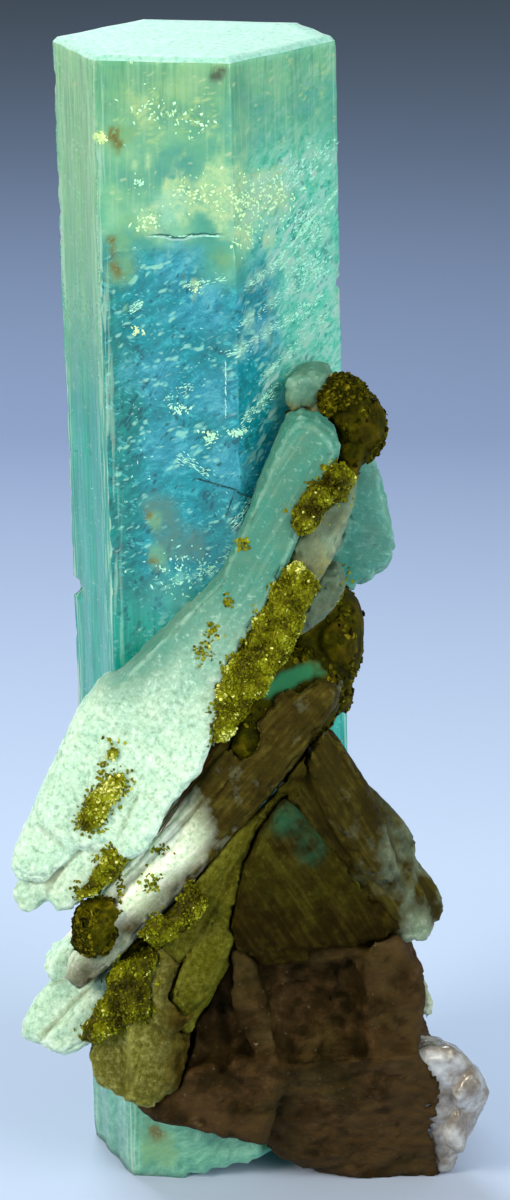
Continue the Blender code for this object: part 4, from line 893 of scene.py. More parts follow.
# %% [markdown]
# ## Albite: material
# Albite is a feldspar, IOR about 1.53, white and see-through at thin edges, with a silky, slightly rough
# face. Light goes a few millimetres into it and comes out again and makes it look soft, so subsurface
# scattering is used. Where a blade lies over the crystal, the crystal's light shining through it is painted
# in as a green glow. Iron films stain it olive and brown between the blades, and the same film colours are
# also painted on as shade towards the lower right and in its creases. Pale glints and a few highlights on
# cleavage faces are painted too. The sugary grain is about 0.5 mm, and its darkest specks are tiny pits.

# %% Albite, cleaved and weathered
# The colour of the painted highlights.
PAINTED_HIGHLIGHT_COLOUR = "#E6F4E4"
CLEAR_SHEEN, IRON_SHEEN, CLEAN_AS_WET = "#FFFFFF", "#C8A860", 0.2


def albite_material(name, tones, film_and_shade_tones, soft, tint="#23786A", pit="#6A8464", streak=0.5, wet=0.3):
    """streak is how much the film, with its painted shade, and the pale marks follow the lines of growth, and
    wet how shiny it is.
    """
    material, tree, edge, painted_glow_and_green_plate, filmed_and_shaded, highlight_spots = new_material(name, "edge", "painted_glow_and_green_plate", "stain_and_painted_shade", "painted_highlight")
    place = add(tree, "TexCoord").outputs["Object"]
    own = add(tree, "Attribute", attribute_name="grain").outputs["Vector"]
    drawn = add(tree, "Mapping", {"Vector": own, "Scale": (1 / 7.0, 1 / 0.5, 1 / 0.5)}).outputs[0]
    mottle, sugar, patchy, lines = (add(tree, "TexNoise", dict(zip(NOISE, row))).outputs[0] for row in (
        (place, per_mm(3.0), 6.0, 0.6), (place, per_mm(0.5), 6.0, 0.72), (place, per_mm(1.3), 6.0, 0.65),
        (drawn, 1.0, 5.0, 0.6)))
    # creases lay the film colour into creases as painted shade; glints lay pale specks as painted highlights.
    blend, light_lines, specks, glints, facet, rims, crease_shade, gloss = (
        add(tree, "MapRange", dict(zip(RANGE, row))).outputs[0] for row in (
            (mottle, 0.35, 0.65, -0.05, 0.2), (lines, 0.52, 0.66, 0.0, 0.6 * streak),
            (sugar, 0.46, 0.30, 0.0, 0.7), (sugar, 0.56, 0.70, 0.0, 0.6), (lines, 0.44, 0.58, 0.0, 1.0),
            (edge, 0.3, 1.0, 0.0, 0.3), (edge, -0.2, -1.0, 0.0, 0.55), (sugar, 0.3, 0.7, 0.45, 0.75)))
    both = add(tree, "Mix", {0: 0.55, 2: mottle, 3: sugar})
    face = add(tree, "ValToRGB", {0: both.outputs[0]}, stops=list(zip((0.37, 0.5, 0.62), tones)))
    either = add(tree, "Mix", {0: streak, 2: patchy, 3: lines})
    film = add(tree, "ValToRGB", {0: either.outputs[0]}, stops=list(zip((0.34, 0.5, 0.66), film_and_shade_tones)))
    stain_and_painted_shade = add(tree, "Math", {0: filmed_and_shaded, 1: blend}, operation="ADD", use_clamp=True).outputs[0]
    painted_highlight = add(tree, "Math", {0: highlight_spots, 1: facet}, operation="MULTIPLY").outputs[0]
    # Pale marks and dark specks fade under the film, with its painted shade, and under the painted glow
    dim = add(tree, "Math", {0: painted_glow_and_green_plate, 1: 0.5, 2: stain_and_painted_shade}, operation="MULTIPLY_ADD")
    clear = add(tree, "Math", {0: 1.0, 1: dim.outputs[0]}, operation="SUBTRACT", use_clamp=True)
    light_lines, specks, glints, rims = (
        add(tree, "Math", {0: mark, 1: clear.outputs[0]}, operation="MULTIPLY").outputs[0]
        for mark in (light_lines, specks, glints, rims))
    # tint is the colour of the painted glow, the crystal's light shining through the blade.
    colour = washed(tree, face.outputs[0], [
        (painted_glow_and_green_plate, tint), (stain_and_painted_shade, film.outputs[0]), (light_lines, tones[2]), (specks, pit), (glints, tones[2]),
        (rims, tones[2]), (crease_shade, film_and_shade_tones[1]), (painted_highlight, PAINTED_HIGHLIGHT_COLOUR)])
    tooth = add(tree, "Bump", {"Height": sugar, "Strength": 1.0, "Distance": 0.11 * MM})
    silk = add(tree, "Bump", {"Height": lines, "Normal": tooth.outputs[0], "Strength": 0.5,
                              "Distance": 0.08 * MM})
    feldspar = add(tree, "BsdfPrincipled", {
        "Base Color": colour, "Roughness": gloss, "IOR": 1.53, "Normal": silk.outputs[0],
        "Specular IOR Level": wet, "Specular Tint": linear(CLEAR_SHEEN if wet > CLEAN_AS_WET else IRON_SHEEN),
        "Subsurface Weight": soft, "Subsurface Radius": (1.0, 1.25, 1.05), "Subsurface Scale": 2.2 * MM})
    add(tree, "OutputMaterial", {"Surface": feldspar.outputs[0]})
    return material


# The film colours and the olive kinds are iron-stained albite and also painted shade: darker than the stain
# alone, for the shade over the lower right.
PALE = ("#8CB6A0", "#B2D6C0", "#D8F4E2")
GREYED = ("#8CA288", "#B6CAAC", "#E2F0D8")
WHITE = ("#B2CCAE", "#DCF4D4", "#FAFFF4")
TEAL = ("#76A89C", "#8EC0B4", "#AAD6CA")
CLEAR_OLIVE = ("#484A12", "#6A6A28", "#9CA05C")
DEEP_OLIVE = ("#40420C", "#545612", "#74762C")
OLIVE_FILM_AND_SHADE = ("#37340F", "#5A5522", "#807C42")
BROWN_FILM_AND_SHADE = ("#1A1605", "#2C270A", "#4A4418")
EARTHY_FILM_AND_SHADE = ("#1A1605", "#302A0C", "#524C1C")
RUSTY_FILM_AND_SHADE = ("#181203", "#30280A", "#4E441A")
DARK_FILM_AND_SHADE = ("#110C01", "#1E1704", "#342C0C")
albite_pale = albite_material("albite pale cleaved", PALE, OLIVE_FILM_AND_SHADE, 0.4, streak=0.25)
albite_grey = albite_material("albite grey stained", GREYED, BROWN_FILM_AND_SHADE, 0.3, streak=0.6, wet=0.14)
# Pale albite painted lighter still, for the light that falls on the long lower left blades.
albite_grey_painted_lit = albite_material("albite white painted lit next to the crust", WHITE, EARTHY_FILM_AND_SHADE, 0.35, wet=0.16)
albite_fan = albite_material("albite thin teal fan", TEAL, BROWN_FILM_AND_SHADE, 0.3, tint="#1E7A70",
                             streak=0.4, wet=0.14)
albite_low = albite_material("albite clear olive plates", CLEAR_OLIVE, RUSTY_FILM_AND_SHADE, 0.35, pit="#2A260A",
                             streak=0.4, wet=0.08)
albite_olive = albite_material("albite thin olive plates", DEEP_OLIVE, DARK_FILM_AND_SHADE, 0.25, tint="#2C9A72",
                               pit="#1E1804", wet=0.06)
print("six kinds of albite, the cleanest", PALE[2], "and the darkest", DEEP_OLIVE[0])

# %% [markdown]
# ## The albite blades
# Each blade or set of blades is one piece over its own solid. What differs between them is written as a
# table: how strong the relief is, where the painted green glow lies, and where the iron film lies, which also
# carries painted shade. The front blade is painted green where it crosses the crystal and its light comes
# through, and it is nearly white at its lower left end.

# %% Where the painted glow and the film with its painted shade lie
UPPER_EDGE = [(3.2, 76.2), (0.7, 69.6), (-4.1, 59.9), (-10.0, 55.0), (-12.8, 52.4)]      # x, z in mm


def along_line(points, line, reach):
    """1 on a broken line of (x, z) places, falling to 0 at reach mm from it."""
    flat = points[:, [0, 2]]
    nearest = np.full(len(points), 1e9)
    for start, end in zip(np.array(line)[:-1], np.array(line)[1:]):
        run = np.clip((flat - start) @ (end - start) / (end - start).dot(end - start), 0.0, 1.0)
        nearest = np.minimum(nearest, np.linalg.norm(flat - start - run[:, None] * (end - start), axis=1))
    return ease(1.0 - nearest / reach)


def front_painted_glow(p):
    """Painted glow: the front blade is green where the crystal's light shines through it, most of all along
    its upper edge.
    """
    drift = 3.0 * layers(p, 5.0, 90, 2)
    return np.maximum(0.85 * along_line(p, UPPER_EDGE, 5.2) * ease((p[:, 2] - 46.0) / 8.0),
                      0.96 * ease((p[:, 2] + drift - 45.0) / 19.0))


def clean_and_lit_end(p):
    """The long blades at the lower left are clean next to the front blade, and stained and painted in shade
    beyond.
    """
    x, z = p[:, 0] + 6.2, p[:, 2] - 39.0
    beside = ease((0.66 * x - 0.75 * z - 1.4) / 2.6)
    beyond = ease((3.0 + 0.75 * x + 0.66 * z) / 7.0)
    return 1.0 - (1.0 - 0.8 * beside) * (1.0 - beyond)


# glow is a painted glow, the crystal's light through the blade; film is iron stain and painted shade
# together.
BLADES = [  # piece, solid, material, slot, seed, relief in mm, glow, film; a number is the same all over
    ("front_blade", "albite_blade_front", albite_pale, "albite", 100, {"ledge": 0.10},
     front_painted_glow, lambda p: 0.26 * ease((38.0 - p[:, 2]) / 10.0)),
    ("blade_behind_front", "albite_blade_behind_front", albite_pale, "albite", 120, {},
     lambda p: 0.5 + 0.2 * ease((p[:, 2] - 66) / 5),
     lambda p: 0.72 + 0.2 * ease((60.0 - p[:, 2]) / 8) + 0.3 * layers(p, 4.0, 10, 2)),
    ("upper_tip", "albite_tip_upper", albite_pale, "albite", 140, {"sugar": 0.08},
     0.92, lambda p: 0.16 + 0.75 * ease((78.4 - p[:, 2]) / 2.0)),
    ("left_sprig", "albite_sprig_left", albite_pale, "albite", 160, {}, 0.0, 0.0),
    ("left_pair", "albite_pair_left", albite_pale, "albite", 180,
     {"lines": 0.09, "along": (-0.81, 0.0, -0.58)},
     0.0, lambda p: 0.12 + 0.35 * ease((p[:, 0] + 14.0) / 3.0)),
    ("lower_left_blades", "albite_blades_lower_left", albite_grey_painted_lit, "albite_grey", 200,
     {"lines": 0.08, "ledge": 0.18}, 0.0, clean_and_lit_end),
    ("right_blades", "albite_blades_right", albite_grey, "albite_grey", 220, {"lines": 0.07},
     lambda p: 0.30 * ease((p[:, 0] - 8.0) / 6.0),
     lambda p: 1.0 - ease((p[:, 0] - 9.5) / 7.0) * (0.26 - 0.6 * layers(p, 3.0, 8))),
    ("small_right_blade", "albite_blade_small_right", albite_grey, "albite_grey", 240, {}, 0.6, 0.55),
    ("right_fan", "albite_fan_right", albite_fan, "albite_grey", 260,
     {"lines": 0.13, "along": (1.0, 0.0, -0.12), "wave": 0.06},
     lambda p: 0.85 - 0.15 * ease((p[:, 0] - 9.0) / 3.0), 0.12),
    ("back_right_blades", "albite_blades_back_right", albite_grey, "albite_grey", 280, {"lines": 0.07},
     lambda p: 0.35 * ease((p[:, 2] - 16) / 10), lambda p: 0.42 + 0.8 * layers(p, 5.0, 5)),
    ("back_blades", "albite_blades_back", albite_grey, "albite_grey", 300, {"lines": 0.07},
     lambda p: 0.4 * ease((p[:, 2] - 14) / 10), lambda p: 0.40 + 0.8 * layers(p, 5.0, 6)),
    ("middle_plate", "albite_plate_middle", albite_olive, "albite_olive", 320, {"ledge": 0.06, "lines": 0.03},
     lambda p: 0.8 * spots(p, [(3.6, -15.6, 39.6, 3.2), (5.4, -15.3, 36.6, 2.6)], 0.4, 71),
     lambda p: 0.98 - 0.16 * spots(p, [(5.0, -15.3, 36.0, 9.0)], 0.2, 72)),
    ("shaded_blades", "albite_blades_shaded", albite_olive, "albite_olive", 340, {"lines": 0.08},
     0.0, lambda p: 0.25 + 0.6 * ease((p[:, 0] + 4.0) / 8.0)),
    ("low_plates", "albite_plates_low", albite_low, "albite_olive", 360, {"ledge": 0.16, "lines": 0.08},
     0.0, lambda p: 0.25 + 0.7 * ease((p[:, 0] + 12.0) / 6.0) - 0.5 * layers(p, 4.0, 9, 2)),
]

# %% Blades
BLADE_GRAIN = {"albite_grey": 0.27, "albite": 0.21, "albite_olive": 0.24}       # mm, by slot
# Blades that are mostly hidden from the front do with a coarser net
COARSE_GRAIN = {"blade_behind_front": 0.27, "back_right_blades": 0.38, "back_blades": 0.38}
surfaces = {}
for name, node, material, slot, seed, relief, painted_glow_and_green_plate, film in BLADES:
    points, faces, fields = weathered(node, COARSE_GRAIN.get(name, BLADE_GRAIN[slot]), seed, **relief)
    for key, level in (("painted_glow_and_green_plate", painted_glow_and_green_plate), ("stain_and_painted_shade", film)):
        fields[key] = np.clip(level(points) if callable(level) else np.full(len(points), level), 0.0, 1.0)
    surfaces[name] = (points, faces)
    make_piece(name, points, faces, [material], [node], fields)

# %% [markdown]
# ## Mica crusts
# Between the blades sit crusts of green mica: thousands of thin six-sided plates 0.15 to 0.4 mm across,
# standing on edge at every angle. No bump map gives that glitter, so the plates are real: each crust is a
# bumpy base with small closed six-sided plates scattered over it, all joined in one mesh. Each plate has its
# own shade.

# %% Scattering plates
rng = np.random.default_rng(5)


def sprinkle(points, faces, count, share=None):
    """Places spread evenly over a net, more where share is larger, with the outward direction at each."""
    corner = points[faces]
    across = across_faces(corner)
    area = np.linalg.norm(across, axis=1)
    weight = area * (1.0 if share is None else share[faces].mean(axis=1))
    chosen = rng.choice(len(faces), count, p=weight / weight.sum())
    u, v = rng.random((2, count, 1))
    a, b, c, d = (corner[chosen, i] for i in range(4))
    return (a * (1 - u) + b * u) * (1 - v) + (d * (1 - u) + c * u) * v, across[chosen] / area[chosen, None]


def hex_plates(places, outward, radius, thick, lean):
    """Closed six-sided plates. lean 0 lays them flat, and large values stand them at any angle."""
    count = len(places)
    facing = outward + lean * rng.normal(size=(count, 3))
    facing /= np.linalg.norm(facing, axis=1, keepdims=True)
    first = np.cross(facing, rng.normal(size=(count, 3)))
    first /= np.linalg.norm(first, axis=1, keepdims=True)
    second = np.cross(facing, first) * rng.uniform(0.7, 1.0, (count, 1))
    turn = np.arange(6) * math.pi / 3
    ring = first[:, None, :] * np.cos(turn)[None, :, None] + second[:, None, :] * np.sin(turn)[None, :, None]
    ring = places[:, None, :] + ring * radius[:, None, None]
    lift = (facing * thick[:, None] / 2)[:, None, :]
    points = np.concatenate([ring + lift, ring - lift], axis=1).reshape(-1, 3)
    start = np.arange(count)[:, None] * 12
    caps = np.vstack([start + np.arange(6), start + np.arange(11, 5, -1)]).tolist()
    walls = np.vstack([start + (i, 6 + i, 6 + (i + 1) % 6, (i + 1) % 6) for i in range(6)]).tolist()
    return points, caps + walls


def crusted(name, base, plates, material, node, fields=None):
    """Makes one piece of a base net and plates, both given as points, faces and shade."""
    base_points, base_faces, base_shade = base
    plate_points, plate_faces, plate_shade = plates
    start = len(base_points)
    faces = base_faces.tolist() + [[start + i for i in face] for face in plate_faces]
    joined = {"shade": np.concatenate([base_shade, plate_shade])}
    for field, values in (fields or {}).items():
        joined[field] = np.concatenate([values, np.zeros(len(plate_points))])
    make_piece(name, np.vstack([base_points, plate_points]), faces, [material], [node], joined,
               flat=slice(len(base_faces), len(faces)))


# %% [markdown]
# ## Mica: material
# This mica is a yellow-green to olive one, IOR about 1.6, with smooth faces that flash like glass where they
# face the light and look dark where they don't. The shade stored for each plate picks its colour from a ramp
# that runs from nearly black olive to pale straw. That stored shade is also painted darker in the hollows and
# lighter on the lumps, and a few plates are painted pale as glints. Fine noise breaks up the base between the
# plates.

# %% Mica, plates in a crust
GREEN_PLATE, STRAW_SHEEN = "#2A7450", "#DCD488"


def mica_material(name, tones, rough, flash, rim=None):
    """tones run from the darkest shade to the palest; rim is the colour of worn edges, if it has any."""
    material, tree, shade, *more = new_material(name, "shade", *(("edge", "painted_glow_and_green_plate") if rim else ()))
    place = add(tree, "TexCoord").outputs["Object"]
    fine = add(tree, "TexNoise", dict(zip(NOISE, (place, per_mm(0.5), 5.0, 0.7)))).outputs[0]
    drift = add(tree, "MapRange", dict(zip(RANGE, (fine, 0.3, 0.7, -0.18, 0.18))))
    level = add(tree, "Math", {0: shade, 1: drift.outputs[0]}, operation="ADD", use_clamp=True)
    ramp = add(tree, "ValToRGB", {0: level.outputs[0]}, stops=list(zip((0.0, 0.3, 0.55, 0.78, 1.0), tones)))
    colour = ramp.outputs[0]
    if rim:
        worn, lens = more
        rust = add(tree, "TexNoise", {"Vector": place, "Scale": per_mm(2.0), "Detail": 4.0})
        patchy = add(tree, "MapRange", dict(zip(RANGE, (rust.outputs[0], 0.45, 0.6, 0.0, 0.45))))
        where = add(tree, "Math", {0: worn, 1: patchy.outputs[0]}, operation="MULTIPLY")
        colour = washed(tree, colour, [(where.outputs[0], rim), (lens, GREEN_PLATE)])
    tooth = add(tree, "Bump", {"Height": fine, "Strength": 0.4, "Distance": 0.08 * MM})
    gloss = add(tree, "MapRange", dict(zip(RANGE, (fine, 0.3, 0.7, rough, rough + 0.25))))
    plate = add(tree, "BsdfPrincipled", {
        "Base Color": colour, "Roughness": gloss.outputs[0], "IOR": 1.6, "Normal": tooth.outputs[0],
        "Specular IOR Level": flash, "Specular Tint": linear(STRAW_SHEEN)})
    add(tree, "OutputMaterial", {"Surface": plate.outputs[0]})
    return material


mica_green = mica_material(
    "mica yellow-green crust", ("#181600", "#3A3A00", "#646604", "#848E12", "#DCE084"), 0.42, 0.18)
# The dark mass colour is the mica's own dark olive, painted darker still for the shade over the masses.
mica_dark = mica_material(
    "mica dark olive mass", ("#0A0A00", "#1E1E00", "#343400", "#5C5606", "#9C9028"), 0.55, 0.08, "#5E4A08")
mica_brown = mica_material(
    "mica brown sheets", ("#140A02", "#2C1806", "#4C2C0C", "#7A4C18", "#A87434"), 0.35, 0.2)

# %% Crusts
CRUSTS = [  # piece, solid, plates per square mm, how much lighter
    ("crust_band", "mica_crust_band", 20.0, 0.08), ("crust_upper", "mica_crust_upper", 18.0, -0.10),
    ("crust_left", "mica_crust_left", 18.0, 0.14), ("crust_crease", "mica_crust_crease", 18.0, 0.1),
    ("crust_low", "mica_crust_low", 15.0, -0.08), ("crust_middle", "mica_crust_middle", 15.0, -0.14)]
crust_points = []
for name, node, crowd, lighter in CRUSTS:
    points, faces, normals = fine_net(node, 0.26)
    relief = layers(points, 1.3, 400, 3)
    points = points + normals * (0.10 + 0.6 * relief + 0.45 * layers(points, 3.0, 405, 2))[:, None]
    crust_points.append(points[::4])
    area = np.linalg.norm(across_faces(points[faces]), axis=1).sum() / 2
    count = int(area * crowd * FEWER)
    places, outward = sprinkle(points, faces, count)
    size = rng.uniform(0.07, 0.20, count)
    plate_points, plate_faces = hex_plates(places + outward * 0.08, outward, size,
                                           rng.uniform(0.04, 0.08, count), 0.75)
    # Painted shade: plates in the hollows are darker and those on lumps lighter, by the same noise as the
    # relief; a few plates are painted pale as glints.
    patch_and_hollow_shade = 0.22 * layers(places, 2.4, 410, 2) + 0.5 * layers(places, 1.3, 400, 3)
    flash = 0.09 * rng.normal(0, 1, count) + 0.45 * (rng.random(count) < 0.03)
    plate_shade = np.clip(0.52 + lighter + patch_and_hollow_shade + flash, 0, 1).repeat(12)
    # The base between the plates is painted darker in its hollows too, as shade.
    crusted(name, (points, faces, np.clip(0.36 + lighter + 0.6 * relief, 0, 1)),
            (plate_points, plate_faces, plate_shade), mica_green, node)

# %% Places of the crumbs
PATCHES = [  # on the front blade and in its creases: x, z, half width, half height, how many plates
    (-1.0, 65.3, 0.8, 0.7, 40), (-2.4, 60.2, 0.6, 0.6, 26), (-3.9, 57.4, 0.8, 1.0, 40),
    (-4.7, 55.4, 0.9, 1.1, 50), (-9.6, 33.5, 1.0, 1.4, 50), (-12.6, 33.0, 0.5, 2.4, 50),
    (-14.2, 43.8, 0.6, 1.4, 30), (8.0, 70.0, 1.0, 1.6, 40), (-8.8, 36.5, 1.2, 0.5, 30),
    (-15.2, 31.6, 1.4, 0.5, 40), (-11.0, 24.4, 1.8, 0.7, 60), (1.6, 58.8, 0.7, 2.2, 50),
    (8.4, 59.6, 1.0, 1.2, 40)]
FRINGE = 1.4             # mm; loose plates lie this far round each crust
blade_trees = [BVHTree.FromPolygons(points.tolist(), faces.tolist()) for points, faces in surfaces.values()]


def blades_behind(x, z):
    """Where a ray straight back at (x, z) meets each blade in its way, and the face's normal there."""
    struck = [blade.ray_cast(Vector((x, AHEAD, z)), Vector(BACKWARD)) for blade in blade_trees]
    return [(place, normal) for place, normal, *_ in struck if place is not None]


places, outward = [], []
for x, z, wide_half, high_half, count in PATCHES:
    for _ in range(count):
        struck = blades_behind(x + rng.normal(0, 0.45) * wide_half, z + rng.normal(0, 0.45) * high_half)
        if struck:
            place, normal = min(struck, key=lambda found: found[0].y)
            places.append(place[:])
            outward.append(normal[:])
print(len(places), "loose plates in patches")

# %% Crumbs of mica on the blades
# Loose plates also lie on every blade close round a crust.
for points, faces in surfaces.values():
    corner = points[faces]
    middle, across = corner.mean(axis=1), across_faces(corner)
    for crust in crust_points:
        low, high = crust.min(axis=0) - FRINGE, crust.max(axis=0) + FRINGE
        close = np.where(((middle > low) & (middle < high)).all(axis=1) & (across[:, 1] < 0))[0]
        if not len(close):
            continue
        away = np.array([np.sqrt(((crust - m) ** 2).sum(axis=1).min()) for m in middle[close]])
        chance = 0.75 * ease(1.0 - away / FRINGE) ** 2 * ease(0.6 + 2.5 * layers(middle[close], 1.6, 415, 2))
        chosen = close[rng.random(len(close)) < chance * FEWER]
        places += middle[chosen].tolist()
        outward += (across[chosen] / np.linalg.norm(across[chosen], axis=1, keepdims=True)).tolist()
places, outward = np.array(places), np.array(outward)
count = len(places)
print(count, "loose plates of mica")
plate_points, plate_faces = hex_plates(places, outward, rng.uniform(0.10, 0.24, count),
                                       rng.uniform(0.05, 0.10, count), 0.5)
plate_shade = np.clip(0.56 + rng.normal(0, 0.15, count), 0, 1).repeat(12)
make_piece("mica_crumbs", plate_points, plate_faces, [mica_green],
           fields={"shade": plate_shade}, flat=slice(None))

# %% Dark sheets in the crevice
# Thin brown sheets stand between the front blade and the ones under it.
CREVICE = np.array([  # down the crevice: x, z in mm
    (-2.6, 47.2), (-3.6, 45.9), (-5.0, 43.8), (-6.4, 41.9), (-7.9, 39.5), (-9.2, 37.5), (-9.8, 36.4)])
ASIDE = np.array([0.83, 0.56])                          # across the crevice, in x and z
SHEETS = [  # mm aside, share of the crevice, mm forward
    (-0.42, 0.9, 0.0), (-0.14, 1.0, 0.14), (0.16, 0.85, 0.05), (0.44, 0.6, 0.2)]
SECTION = ((0.0, -0.05), (0.0, 0.05), (1.2, 0.09), (1.2, -0.09))     # mm back and across, round a sheet
FURTHEST, NO_BLADE = -14.6, -13.8        # y in mm: as far forward as blades count, and where there is none
steps = np.linspace(0.0, len(CREVICE) - 1.0, 46)
line = np.column_stack([np.interp(steps, np.arange(len(CREVICE)), CREVICE[:, i]) for i in (0, 1)])
middle = np.column_stack([line[:, 0], steps, line[:, 1]])
sheet_points, sheet_faces, sheet_shade = [], [], []
for sheet, (offset, share, forward) in enumerate(SHEETS):
    wander = offset + 0.16 * ripple(middle * (1, 0, 1), 1.6, 450 + sheet)
    keep = slice(round(len(line) * (1 - share) * 0.6), round(len(line) * (1 - (1 - share) * 0.4)))
    start = len(sheet_points)
    for (x, z), off in list(zip(line, wander))[keep]:
        x, z = x + ASIDE[0] * off, z + ASIDE[1] * off
        behind = min([place.y for place, _ in blades_behind(x, z)] or [NO_BLADE])
        front = max(FURTHEST, behind) - forward - 0.12
        for deep, across in SECTION:
            sheet_points.append((x + ASIDE[0] * across, front + deep, z + ASIDE[1] * across))
            sheet_shade.append(0.62 if deep == 0.0 and sheet % 2 else 0.25)
    last = len(sheet_points) - 4
    for first in range(start, last, 4):
        sheet_faces += [(first + i, first + (i + 1) % 4, first + 4 + (i + 1) % 4, first + 4 + i)
                        for i in range(4)]
    sheet_faces += [(start + 3, start + 2, start + 1, start), (last, last + 1, last + 2, last + 3)]
make_piece("crevice_sheets", np.array(sheet_points), sheet_faces, [mica_brown],
           fields={"shade": np.array(sheet_shade)}, flat=slice(None))

# %% Dark mica masses
MASSES = [  # piece, solid, relief in mm, how many plates, shade of the base
    ("right_mica_mass", "mica_mass_right", 0.16, 1500, 0.36),
    ("upper_mica_knob", "mica_knob_upper", 0.3, 1300, 0.36),
    ("low_mica_mass", "mica_mass_low", 0.22, 500, 0.34),
    ("left_mica_lump", "mica_lump_left", 0.5, 600, 0.46)]
LENS = [(1.2 + 0.6 * i, -13.9 + 0.18 * i, 51.8 + 0.2 * i, 1.3) for i in range(7)]    # a clear green plate
for name, node, depth, crowd, tone in MASSES:
    points, faces, normals = fine_net(node, 0.25)
    outer = standing_out(points, faces, normals, 0.10)
    relief = layers(points, 2.2, 430, 4)
    points = points + normals * (SWELL + depth * relief - 0.12 * np.maximum(outer, 0))[:, None]
    lens = spots(points, LENS, 0.8, 66)
    crowding = (ease(0.55 * outer + 1.6 * layers(points, 3.0, 440, 2) + 0.15) + 0.03) * ease(1.0 - 3.0 * lens)
    count = int(crowd * FEWER)
    places, outward = sprinkle(points, faces, count, crowding)
    plate_points, plate_faces = hex_plates(places + outward * 0.04, outward, rng.uniform(0.15, 0.38, count),
                                           rng.uniform(0.06, 0.12, count), 0.6)
    plate_shade = np.clip(0.48 + rng.normal(0, 0.2, count), 0, 1).repeat(12)
    # Painted shade and light: the base is darker in its hollows and lighter on its lumps and edges.
    crusted(name, (points, faces, np.clip(tone + 0.25 * relief + 0.22 * np.maximum(outer, 0), 0, 1)),
            (plate_points, plate_faces, plate_shade), mica_dark, node,
            {"edge": np.maximum(outer, 0.0), "painted_glow_and_green_plate": 0.85 * lens})

# %% [markdown]
# ## Brown rock and quartz
# The rock that the crystals grew from is a dull brown mass, broken in lumps and hollows. It is all relief:
# noise with its valleys turned up gives the lumps, and smaller noise gives the grain. Its colour is mottled
# brown, its own colour painted darker for the shade over the lower right, and its hollows are painted darker
# still as shade, with a few painted glints. The quartz at its right end is glassy and milky, broken in small
# shell-like facets, IOR 1.54.

# %% Rock: shape
HOLLOWS = [  # (x, y, z, radius) in mm
    (-4.6, -14.5, 22.6, 2.6), (-4.2, -14.5, 19.6, 2.8), (-3.8, -14.5, 16.8, 2.0), (3.6, -14.5, 23.0, 3.0),
    (5.2, -14.5, 20.6, 3.6), (7.4, -14.5, 22.4, 3.0), (5.0, -14.5, 17.4, 2.6)]
points, faces, normals = fine_net("matrix_rock", 0.35)
outer = standing_out(points, faces, normals, 0.14)
lumps = np.abs(layers(points, 5.0, 500, 4, 0.6))
broken_up = layers(points + 0.8 * ripple(points, 2.0, 505)[:, None], (1.9, 2.6, 1.3), 510, 3, 0.6)
pits = ease((-broken_up - 0.16) * 5.0)
deep = spots(points, HOLLOWS, 0.6, 73)
steps = stepped(3.2 * layers(points, (6.0, 5.0, 3.4), 530, 2), 6.0) / 3.2      # flat-topped, broken in sheets
push = SWELL + 0.5 * (lumps - 0.22) + 0.24 * broken_up + 0.6 * steps
push += 0.1 * ripple(points, 0.7, 520) - 0.3 * deep
points = points + normals * push[:, None]
print("rock relief from", round(push.min(), 2), "to", round(push.max(), 2), "mm")

# %% Rock, brown feldspar and mica
# The earth tones are the rock's brown, painted darker for the shade over it.
EARTH = [(0.28, "#140F04"), (0.46, "#291E0D"), (0.6, "#41301B"), (0.76, "#66553C")]
MOSSY, GLINT, SLAB, HOLLOW_SHADE = "#302C12", "#9C8C6E", "#42331F", "#100D04"
rock_material, tree, painted_hollow_shade, slab = new_material("rock brown feldspar and mica matrix", "painted_hollow_shade", "slab")
place = add(tree, "TexCoord").outputs["Object"]
mottle, grit = (add(tree, "TexNoise", dict(zip(NOISE, row))).outputs[0] for row in (
    (place, per_mm(3.0), 8.0, 0.65), (place, per_mm(0.5), 5.0, 0.7)))
moss = add(tree, "TexNoise", {"Vector": place, "Scale": per_mm(6.0), "Detail": 3.0}).outputs[0]
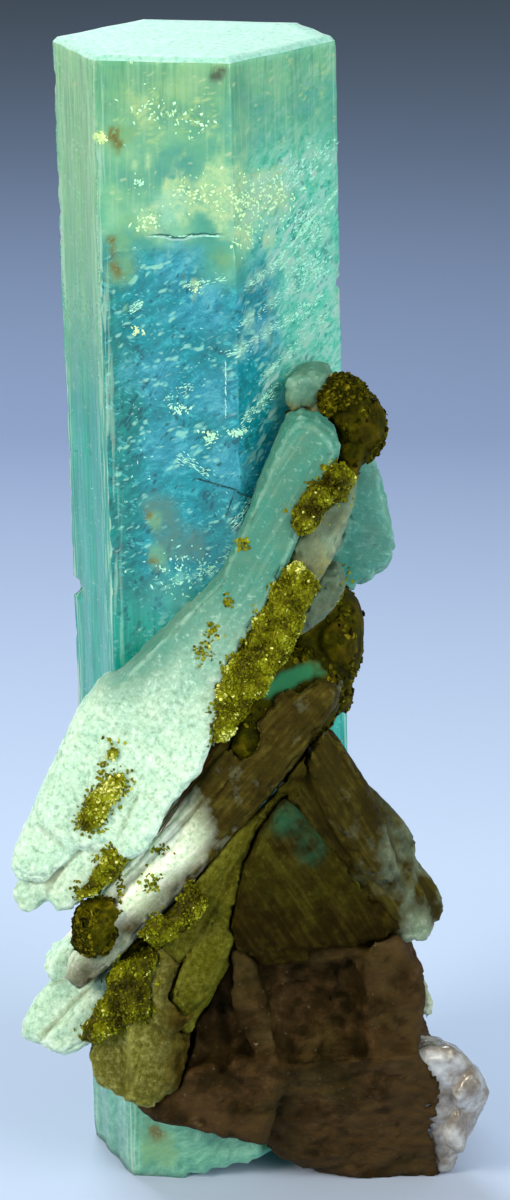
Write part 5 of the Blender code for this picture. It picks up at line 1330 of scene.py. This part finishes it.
# glints are painted highlights on the grit.
green, glints, rough = (add(tree, "MapRange", dict(zip(RANGE, row))).outputs[0] for row in (
    (moss, 0.5, 0.65, 0.0, 0.55), (grit, 0.64, 0.72, 0.0, 0.45), (grit, 0.3, 0.7, 0.9, 0.5)))
earth = add(tree, "ValToRGB", {0: mottle}, stops=EARTH)
colour = washed(tree, earth.outputs[0], [(green, MOSSY), (glints, GLINT), (slab, SLAB), (painted_hollow_shade, HOLLOW_SHADE)])
tooth = add(tree, "Bump", {"Height": grit, "Strength": 1.0, "Distance": 0.2 * MM})
stone = add(tree, "BsdfPrincipled", {
    "Base Color": colour, "Roughness": rough, "IOR": 1.5, "Normal": tooth.outputs[0],
    "Specular IOR Level": 0.1, "Specular Tint": linear("#D8B880")})
add(tree, "OutputMaterial", {"Surface": stone.outputs[0]})
low_or_right = np.clip(ease((14.0 - points[:, 2]) / 5.0) + ease((points[:, 0] - 9.5) / 2.0), 0, 1)
# Painted shade: the pits, creases and listed hollows are painted nearly black.
make_piece("brown_rock", points, faces, [rock_material], ["matrix_rock"],
           {"painted_hollow_shade": np.clip(0.55 * pits + 0.6 * np.maximum(-outer, 0) + 0.7 * deep, 0, 1),
            "slab": 0.6 * low_or_right * ease(0.6 + 2.0 * layers(points, 4.0, 525, 3))})

# %% Quartz, milky and broken
points, faces, normals = fine_net("quartz_tip", 0.22)
shell = stepped(4.0 * ripple(points, 2.6, 540), 4.0) / 4.0
points = points + normals * (SWELL + 0.28 * shell + 0.1 * layers(points, 1.0, 541, 2))[:, None]
quartz_material, tree = new_material("quartz milky broken")
place = add(tree, "TexCoord").outputs["Object"]
cloudy = add(tree, "TexNoise", dict(zip(NOISE, (place, per_mm(2.4), 6.0, 0.6))))
cells = add(tree, "TexVoronoi", {"Vector": place, "Scale": per_mm(0.9)})
milk = add(tree, "ValToRGB", {0: cloudy.outputs[0]}, stops=[
    (0.3, "#6E5E4C"), (0.45, "#9A9186"), (0.58, "#C9CBCB"), (0.72, "#F2F6FA")])
facets = add(tree, "Bump", {"Height": cells.outputs["Distance"], "Strength": 0.5, "Distance": 0.2 * MM})
glass = add(tree, "BsdfPrincipled", {
    "Base Color": milk.outputs[0], "Roughness": 0.16, "IOR": 1.54, "Normal": facets.outputs[0],
    "Transmission Weight": 0.5})
add(tree, "OutputMaterial", {"Surface": glass.outputs[0]})
make_piece("quartz_end", points, faces, [quartz_material], ["quartz_tip"])
